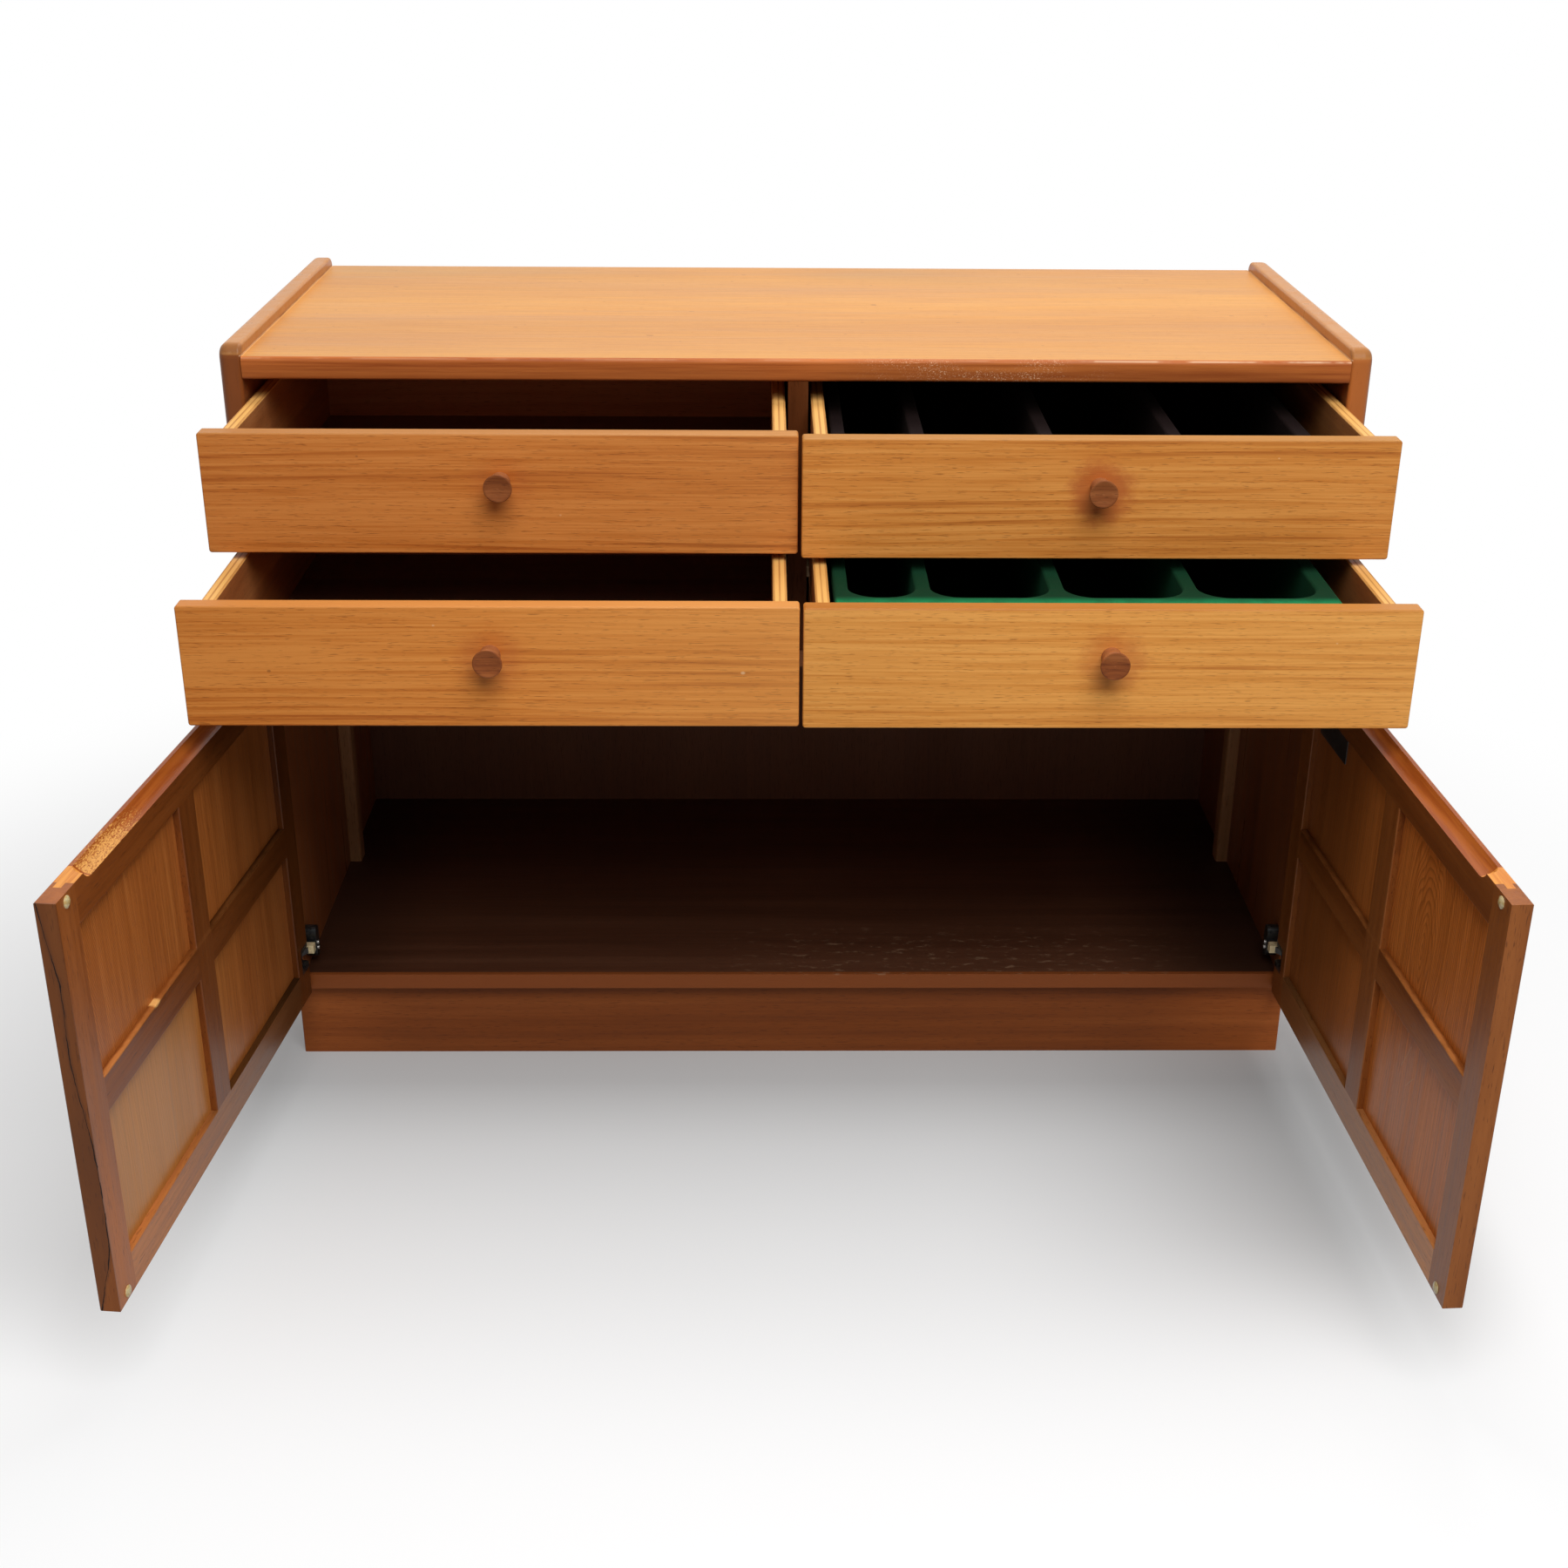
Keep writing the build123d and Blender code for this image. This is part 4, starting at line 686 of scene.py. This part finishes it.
def split_edge(tree, place, colour, shine):
    """The left door's free stile: a painted sheen low down and painted shade high on its edge, its outer face
    darker with a long dark split.
    """
    edge_brown, stain_brown, crack_black = (0.100, 0.030, 0.004), (0.045, 0.016, 0.007), (0.008, 0.004, 0.003)
    half_height, back_face, front_face = 0.1815, -0.0055, 0.0115
    along, across, up = out_along(tree, place, 1.0)
    path = add(tree, "FloatCurve", Value=spread(tree, up, half_height, -half_height, kind="LINEAR"))
    line = path.mapping.curves[0]
    for index, point in enumerate(((0.0, 0.12), (1.0, 0.13))):
        line.points[index].location = point
    for down, over in ((0.04, 0.22), (0.15, 0.50), (0.21, 0.63), (0.33, 0.52), (0.45, 0.66), (0.57, 0.93),
                       (0.66, 0.98), (0.80, 0.97), (0.87, 0.80), (0.94, 0.40)):
        line.points.new(down, over)
    path.mapping.update()
    shake = cloud(tree, place, (90.0, 90.0, 60.0), detail=3.0, rough=0.6)
    over = spread(tree, across, back_face, front_face, kind="LINEAR")
    off = apart(tree, raised(tree, shake, 0.16, over), math_of(tree, "ADD", path.outputs[0], 0.08))
    uneven = cloud(tree, place, (20.0, 20.0, 30.0), (5.0, 0.0, 0.0), 2.0)
    width = spread(tree, uneven, 0.35, 0.65, 0.008, 0.030)
    outer = product(tree, spread(tree, less(tree, path.outputs[0], over), -0.02, 0.04),
                    spread(tree, up, 0.10, -0.05, 0.05, 0.42))
    stain = math_of(tree, "MAXIMUM", spread(tree, off, 0.16, 0.03, 0.0, 0.30), outer)
    edge_face = spread(tree, along, 0.4955, 0.4964)
    # Painted sheen low on the stile and painted shade near the top of its edge face.
    low_painted_sheen = product(tree, spread(tree, up, 0.0, -0.14, 0.0, 0.35), spread(tree, along, 0.40, 0.45))
    high_painted_shade = spread(tree, up, 0.12, 0.0, -0.22, 0.0)
    crack = product(tree, math_of(tree, "LESS_THAN", off, width), edge_face)
    colour = times(tree, math_of(tree, "ADD", 1.0, low_painted_sheen), colour)
    colour = times(tree, raised(tree, edge_face, high_painted_shade, 1.0), colour)
    colour = blend_colour(tree, product(tree, edge_face, 0.4), colour, edge_brown)
    colour = blend_colour(tree, product(tree, stain, edge_face), colour, stain_brown)
    return blend_colour(tree, crack, colour, crack_black), raised(tree, crack, 0.4, shine)


def worn_ledges(side, away):
    """The muntins' upper ledges: rubbed to bare orange wood, with one chip on the left door."""
    least, most = (0.15, 0.80) if side == "left" else (0.25, 1.0)
    chip_x, chip_z, chip_flatness = 0.352, 0.0150, 0.33
    bare_orange, chip_gold = (0.54, 0.195, 0.050), (0.80, 0.42, 0.13)

    def marks(tree, place, colour, shine):
        along, across, up = out_along(tree, place, away)
        ragged = cloud(tree, place, (35.0, 60.0, 60.0), (3.0, 0.0, 0.0), 3.0, 0.6)
        edge = raised(tree, ragged, 0.0024, less(tree, up, 0.0012))
        ledge = spread(tree, edge, 0.0137, 0.0147)
        corner = spread(tree, raised(tree, ragged, 0.004, across), 0.0085, 0.0112)
        below_panel = spread(tree, up, 0.020, 0.016)
        worn = product(tree, ledge, corner, below_panel, spread(tree, along, 0.24, 0.44, least, most),
                       spread(tree, ragged, 0.30, 0.60, 0.45, 1.0))
        colour = blend_colour(tree, worn, colour, bare_orange)
        if side == "left":
            far = length_of(tree, product(tree, less(tree, along, chip_x), chip_flatness),
                            less(tree, up, chip_z))
            chip = spread(tree, raised(tree, ragged, 0.004, far), 0.0046, 0.0032)
            colour = blend_colour(tree, chip, colour, chip_gold)
            worn = math_of(tree, "MAXIMUM", worn, chip)
        return colour, raised(tree, worn, 0.15, shine)
    return marks


def bright_rail(side, away):
    """Red wood on the rail's top and in the scoop, an amber tongue, and flaked polish on the left door."""
    tongue_from, flakes_end, flake_gold = 0.4362, 0.4345, (0.78, 0.40, 0.10)

    def marks(tree, place, colour, shine):
        along, across, _ = out_along(tree, place, away)
        upward = facing_up(tree)
        streak = cloud(tree, place, (9.0, 260.0, 260.0), (2.0, 0.0, 0.0), 3.0, 0.6)
        red = blend_colour(tree, spread(tree, streak, 0.35, 0.65), (0.27, 0.058, 0.008), (0.36, 0.092, 0.014))
        amber = blend_colour(tree, spread(tree, streak, 0.4, 0.6), (0.62, 0.20, 0.030), (0.78, 0.32, 0.060))
        tongue = product(tree, upward, spread(tree, along, tongue_from, tongue_from + 0.001))
        colour = blend_colour(tree, upward, colour, red)
        colour = blend_colour(tree, tongue, colour, amber)
        if side == "left":
            flakes = cloud(tree, place, (330.0, 900.0, 900.0), (0.0, 6.0, 0.0), 4.0, 0.75)
            patch = product(tree, within(tree, along, 0.388, 0.430, 0.085),
                            spread(tree, across, -0.004, 0.004, 0.35, 1.0))
            chance = spread(tree, patch, 0.0, 1.0, 0.66, 0.44, kind="LINEAR")
            bare = spread(tree, less(tree, flakes, chance), -0.06, 0.10)
            bare = product(tree, bare, spread(tree, patch, 0.0, 0.25), upward,
                           spread(tree, along, flakes_end, flakes_end - 0.001))
            colour = blend_colour(tree, product(tree, bare, 0.8), colour, flake_gold)
            shine = raised(tree, bare, 0.12, shine)
        return colour, shine
    return marks


def scratched(tree, along, up, colour):
    """Two fine pale scratches that lean across the right door's lower panel."""
    scratch_pale = (0.60, 0.38, 0.22)
    for start, height, lean, reach in ((0.338, -0.045, 0.55, 0.013), (0.352, -0.062, 0.9, 0.006)):
        sloped = raised(tree, less(tree, up, height), -lean, less(tree, along, start))
        hair = spread(tree, math_of(tree, "ABSOLUTE", sloped), 0.0006, 0.0002)
        near = within(tree, up, height - reach, height + reach, 0.003)
        colour = blend_colour(tree, product(tree, hair, near, 0.6), colour, scratch_pale)
    return colour


def panels_shade_and_sheen(side, away):
    """Panels with painted shade beside the hinge; the left door's lower ones painted pale as a sheen, the
    right door's scratched.
    """
    sheen_pale, left_shade, right_shade = (0.74, 0.36, 0.085), (0.12, 0.04, 0.012), (0.10, 0.034, 0.010)

    def marks(tree, place, colour, shine):
        along, _, up = out_along(tree, place, away)
        if side == "left":
            # Painted sheen: the left door's lower panels grow pale toward the free edge.
            pale = product(tree, spread(tree, up, 0.01, -0.03), spread(tree, along, 0.12, 0.36, 0.0, 0.42))
            colour = blend_colour(tree, pale, colour, sheen_pale)
            hinge_shade = spread(tree, along, 0.26, 0.05, 0.0, 0.38)
            return blend_colour(tree, hinge_shade, colour, left_shade), shine
        hinge_shade = spread(tree, along, 0.30, 0.08, 0.0, 0.68)
        colour = blend_colour(tree, hinge_shade, colour, right_shade)
        return scratched(tree, along, up, colour), shine
    return marks


def mullion(tree, place):
    """1 on the middle upright of a door, 0 on the bars that run along it."""
    middle_x, half_width = 0.2435, 0.0176
    off = apart(tree, math_of(tree, "ABSOLUTE", xyz(tree, place)[0]), middle_x)
    return spread(tree, off, half_width + 0.0002, half_width - 0.0002)


door_looks = {
    "left": dict(
        seed=201.0, away=1.0, shade_to_light=(0.56, 1.25), bar_shade_to_light=(0.56, 1.25), low_shade_to_light=(0.27, 1.65),
        stile_marks=split_edge, bar_gloss=0.18, panel_gloss=0.22,
        frame_tones=((0.150, 0.038, 0.007), (0.235, 0.065, 0.012), (0.310, 0.095, 0.021)),
        panel_tones=((0.36, 0.102, 0.019), (0.49, 0.148, 0.029), (0.60, 0.205, 0.047))),
    # The right door's tones are set lighter than the left's: painted light, as the lamps reach its inner face
    # less.
    "right": dict(
        seed=233.0, away=-1.0, shade_to_light=(0.74, 1.08), bar_shade_to_light=(0.80, 1.20), low_shade_to_light=(0.42, 1.35),
        stile_marks=None, bar_gloss=0.11, panel_gloss=0.15,
        frame_tones=((0.180, 0.050, 0.010), (0.272, 0.082, 0.017), (0.360, 0.118, 0.028)),
        panel_tones=((0.43, 0.121, 0.019), (0.60, 0.175, 0.030), (0.745, 0.236, 0.046)))}
for side, looks in door_looks.items():
    seed, away, shade_to_light = looks["seed"], looks["away"], looks["shade_to_light"]
    laid = dict(centre=door_pins[side], turn=door_turns[side], rough=(0.28, 0.40))
    # The bottom rail takes the frame's tones made paler and greyer: a painted sheen on the doors' lower edge.
    low_sheen_tones = shared((1.75, 2.25, 3.2), looks["frame_tones"])
    for piece, order, tones, turn_of_seed, gloss, marks, upright in (
            ("stile", "zxy", looks["frame_tones"], 0.0, 0.18,
             frame_painted_shade(*shade_to_light, away, looks["stile_marks"]), None),
            ("bar", "xzy", looks["frame_tones"], 3.0, looks["bar_gloss"],
             frame_painted_shade(*looks["bar_shade_to_light"], away, worn_ledges(side, away)), mullion),
            ("bottom_rail", "xzy", low_sheen_tones, 4.0, 0.18, frame_painted_shade(*looks["low_shade_to_light"], away), None),
            ("top_rail", "xzy", looks["frame_tones"], 5.0, 0.18,
             frame_painted_shade(*shade_to_light, away, bright_rail(side, away)), None)):
        node = {"stile": "stiles", "bar": "cross"}.get(piece, piece)
        frame_teak = teak(f"door_{side}_{piece}_teak", order, *tones, seed=seed + turn_of_seed,
                          specular=gloss, pore_depth=0.6, marks=marks, upright=upright, **laid)
        dress(frame_teak, f"door_{side}_{node}")
    panel_teak = teak(f"door_{side}_panel_veneer", "zxy", *looks["panel_tones"], seed=seed + 11.0, band=22.0,
                      streak=170.0, hair=700.0, weights=(0.30, 0.30, 0.44), specular=looks["panel_gloss"],
                      figure=crown(side, away, seed), marks=panels_shade_and_sheen(side, away), **laid)
    dress(panel_teak, f"door_{side}_panels")

# The bare plate is a thin black plastic sheet glued to the upper panel beside the right door's hinge.
# Its corners and its outer rim are rounded.
plate_low, plate_high = Vector((-0.105, 0.0055, 0.1190)), Vector((-0.028, 0.0062, 0.1470))
corner_radius, rim_radius, least_through = 0.002, 0.0002, 0.0003
plate_mesh = bmesh.new()
bmesh.ops.create_cube(plate_mesh, size=1.0)
bmesh.ops.scale(plate_mesh, vec=plate_high - plate_low, verts=plate_mesh.verts)
uprights = [edge for edge in plate_mesh.edges if abs(edge.verts[0].co.y - edge.verts[1].co.y) > least_through]
bmesh.ops.bevel(plate_mesh, geom=uprights, offset=corner_radius, offset_type="OFFSET", segments=4,
                profile=0.5, affect="EDGES", material=-1)
rims = [edge for edge in plate_mesh.edges
        if len(edge.link_faces) == 2 and edge.calc_face_angle(0.0) > 0.9
        and edge.verts[0].co.y > 0.0 and edge.verts[1].co.y > 0.0]
bmesh.ops.bevel(plate_mesh, geom=rims, offset=rim_radius, offset_type="OFFSET", segments=2,
                profile=0.5, affect="EDGES", material=-1)
bmesh.ops.translate(plate_mesh, vec=(plate_low + plate_high) / 2, verts=plate_mesh.verts)
bmesh.ops.rotate(plate_mesh, cent=(0.0, 0.0, 0.0), matrix=Matrix.Rotation(door_turns["right"], 3, "Z"),
                 verts=plate_mesh.verts)
bmesh.ops.translate(plate_mesh, vec=door_pins["right"], verts=plate_mesh.verts)
plate_data = bpy.data.meshes.new("door_right_plate")
plate_mesh.to_mesh(plate_data)
plate_mesh.free()
plate = bpy.data.objects.new("door_right_plate", plate_data)
bpy.context.scene.collection.objects.link(plate)
plate_black, shader = mottled("black_plate_plastic", 180.0, ((0.010, 0.009, 0.008), (0.045, 0.040, 0.035)),
                              (0.52, 0.72), (0.35, 0.5), detail=4.0, rough=0.65)
plate_data.materials.append(plate_black)
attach(plate, "door_right")


# ==================================================================== door bumpers
# Clear domes of soft plastic stuck near the free corners, gone yellow with age.

bumper, shader = mottled("yellowed_clear_plastic", 300.0, ((0.92, 0.78, 0.42), (0.80, 0.56, 0.20)),
                         (0.4, 0.7), (0.08, 0.18), detail=2.0)
shader.inputs["Transmission Weight"].default_value = 0.35
shader.inputs["IOR"].default_value = 1.45
dress(bumper, "door_left_bumpers", "door_right_bumpers")


# ==================================================================== hinges
# Black-lacquered steel arms screwed to the end panels, with a cup let into the door and a pale
# nylon sleeve over the bend of each arm.

black, shader = mottled("black_lacquered_steel", 260.0, ((0.012, 0.012, 0.012), (0.05, 0.045, 0.04)),
                        (0.5, 0.75), (0.25, 0.4))
dress(black, "hinge_arms", "door_left_hinge_cups", "door_right_hinge_cups")
nylon, shader = mottled("natural_nylon", 220.0, ((0.88, 0.72, 0.42), (0.68, 0.52, 0.28)),
                        (0.45, 0.7), (0.4, 0.55))
shader.inputs["Subsurface Weight"].default_value = 0.15
shader.inputs["Subsurface Radius"].default_value = (0.002, 0.0015, 0.001)
dress(nylon, "hinge_sleeves")


# ==================================================================== studio
# A seamless white floor under two broad soft lamps, one high in front and one high behind, with an
# even weak light from all round. The floor is painted darker where the cabinet stands over it.

def seen_directly(tree):
    """A light path, and 1 on its rays from the camera, a reflection or a clear piece."""
    ray = add(tree, "LightPath").outputs
    mirrored = math_of(tree, "MAXIMUM", ray["Is Glossy Ray"], ray["Is Transmission Ray"])
    return ray, math_of(tree, "MAXIMUM", ray["Is Camera Ray"], mirrored)


floor_mesh = bmesh.new()
bmesh.ops.create_grid(floor_mesh, x_segments=1, y_segments=1, size=12.0)
floor_data = bpy.data.meshes.new("studio_floor")
floor_mesh.to_mesh(floor_data)
floor_mesh.free()
floor = bpy.data.objects.new("studio_floor", floor_data)
bpy.context.scene.collection.objects.link(floor)
paper = bpy.data.materials.new("studio_paper")
paper.use_nodes = True
tree = paper.node_tree
tree.nodes.clear()
ray, shown = seen_directly(tree)
unseen_grey, paper_white = (0.40, 0.40, 0.40), (0.975, 0.98, 0.985)
matt = add(tree, "BsdfDiffuse", Color=blend_colour(tree, shown, unseen_grey, paper_white))
place = piece_space(tree)
beside, depth, _ = xyz(tree, place)
front = product(tree, math_of(tree, "POWER", spread(tree, depth, -0.85, -0.26, kind="LINEAR"), 1.7),
                spread(tree, math_of(tree, "ABSOLUTE", beside), 0.65, 0.52),
                spread(tree, depth, 0.3, -0.2, 0.0, 0.70))
right_side = product(tree, spread(tree, beside, 0.12, 0.52), spread(tree, beside, 0.66, 0.54),
                     spread(tree, depth, -0.74, -0.50), spread(tree, depth, -0.15, -0.50, 0.10, 0.38),
                     spread(tree, depth, 0.45, 0.0))
left_side = product(tree, spread(tree, beside, -0.56, -0.64), spread(tree, beside, -1.35, -0.75),
                    spread(tree, depth, -0.74, -0.52), spread(tree, depth, 0.65, -0.35, 0.0, 0.26))
shade = math_of(tree, "ADD", front, math_of(tree, "ADD", right_side, left_side))
tone = math_of(tree, "MAXIMUM", less(tree, 1.0, shade), product(tree, ray["Is Glossy Ray"], 0.85))
glow = add(tree, "Emission", Color=add(tree, "CombineXYZ", X=tone, Y=tone, Z=tone).outputs[0], Strength=1.0)
from_middle = add(tree, "VectorMath", {"operation": "LENGTH"},
                  i0=add(tree, "Mapping", Vector=place, Location=(0.0, 0.25, 0.0)).outputs[0])
white = product(tree, spread(tree, from_middle.outputs["Value"], 0.75, 1.4, 0.6, 1.0), shown)
both = add(tree, "MixShader", i0=white, i1=matt.outputs[0], i2=glow.outputs[0])
add(tree, "OutputMaterial", Surface=both.outputs[0])
floor_data.materials.append(paper)

world = bpy.data.worlds.new("studio_air")
bpy.context.scene.world = world
world.use_nodes = True
tree = world.node_tree
air = tree.nodes["Background"]
air.inputs["Color"].default_value = (1.0, 1.0, 1.0, 1.0)
strength = spread(tree, seen_directly(tree)[1], 0.0, 1.0, 0.10, 1.0, kind="LINEAR")
tree.links.new(strength, air.inputs["Strength"])


def soft_lamp(name, place, size, power):
    """A round lamp aimed at the middle of the cabinet."""
    aim = Vector((0.0, -0.2, 0.5))
    lamp = bpy.data.lights.new(name, "AREA")
    lamp.shape = "DISK"
    lamp.size = size
    lamp.energy = power
    held = bpy.data.objects.new(name, lamp)
    held.location = place
    held.rotation_euler = (aim - Vector(place)).to_track_quat("-Z", "Y").to_euler()
    bpy.context.scene.collection.objects.link(held)


soft_lamp("front_lamp", (0.42, -2.0, 2.9), 2.6, 96.0)
soft_lamp("back_lamp", (0.2, 0.75, 2.7), 1.6, 28.5)

camera_data = bpy.data.cameras.new("view")
camera_data.lens = 47.45
camera_data.sensor_width = 36.0
camera_data.shift_x = -0.0075
camera_data.shift_y = 0.0104
camera_place = (-0.03325, -2.0466, 1.1401)
yaw, pitch, roll = math.radians(1.069), math.radians(24.817), math.radians(0.488)
ahead = Vector((math.sin(yaw) * math.cos(pitch), math.cos(yaw) * math.cos(pitch), -math.sin(pitch)))
right = Vector((math.cos(yaw), -math.sin(yaw), 0.0))
up = right.cross(ahead)
tilted_right = right * math.cos(roll) + up * math.sin(roll)
tilted_up = up * math.cos(roll) - right * math.sin(roll)
camera = bpy.data.objects.new("view", camera_data)
camera.matrix_world = Matrix.Translation(camera_place) @ Matrix(
    (tilted_right, tilted_up, -ahead)).transposed().to_4x4()
bpy.context.scene.collection.objects.link(camera)
bpy.context.scene.camera = camera
bpy.context.scene.view_settings.view_transform = "Standard"
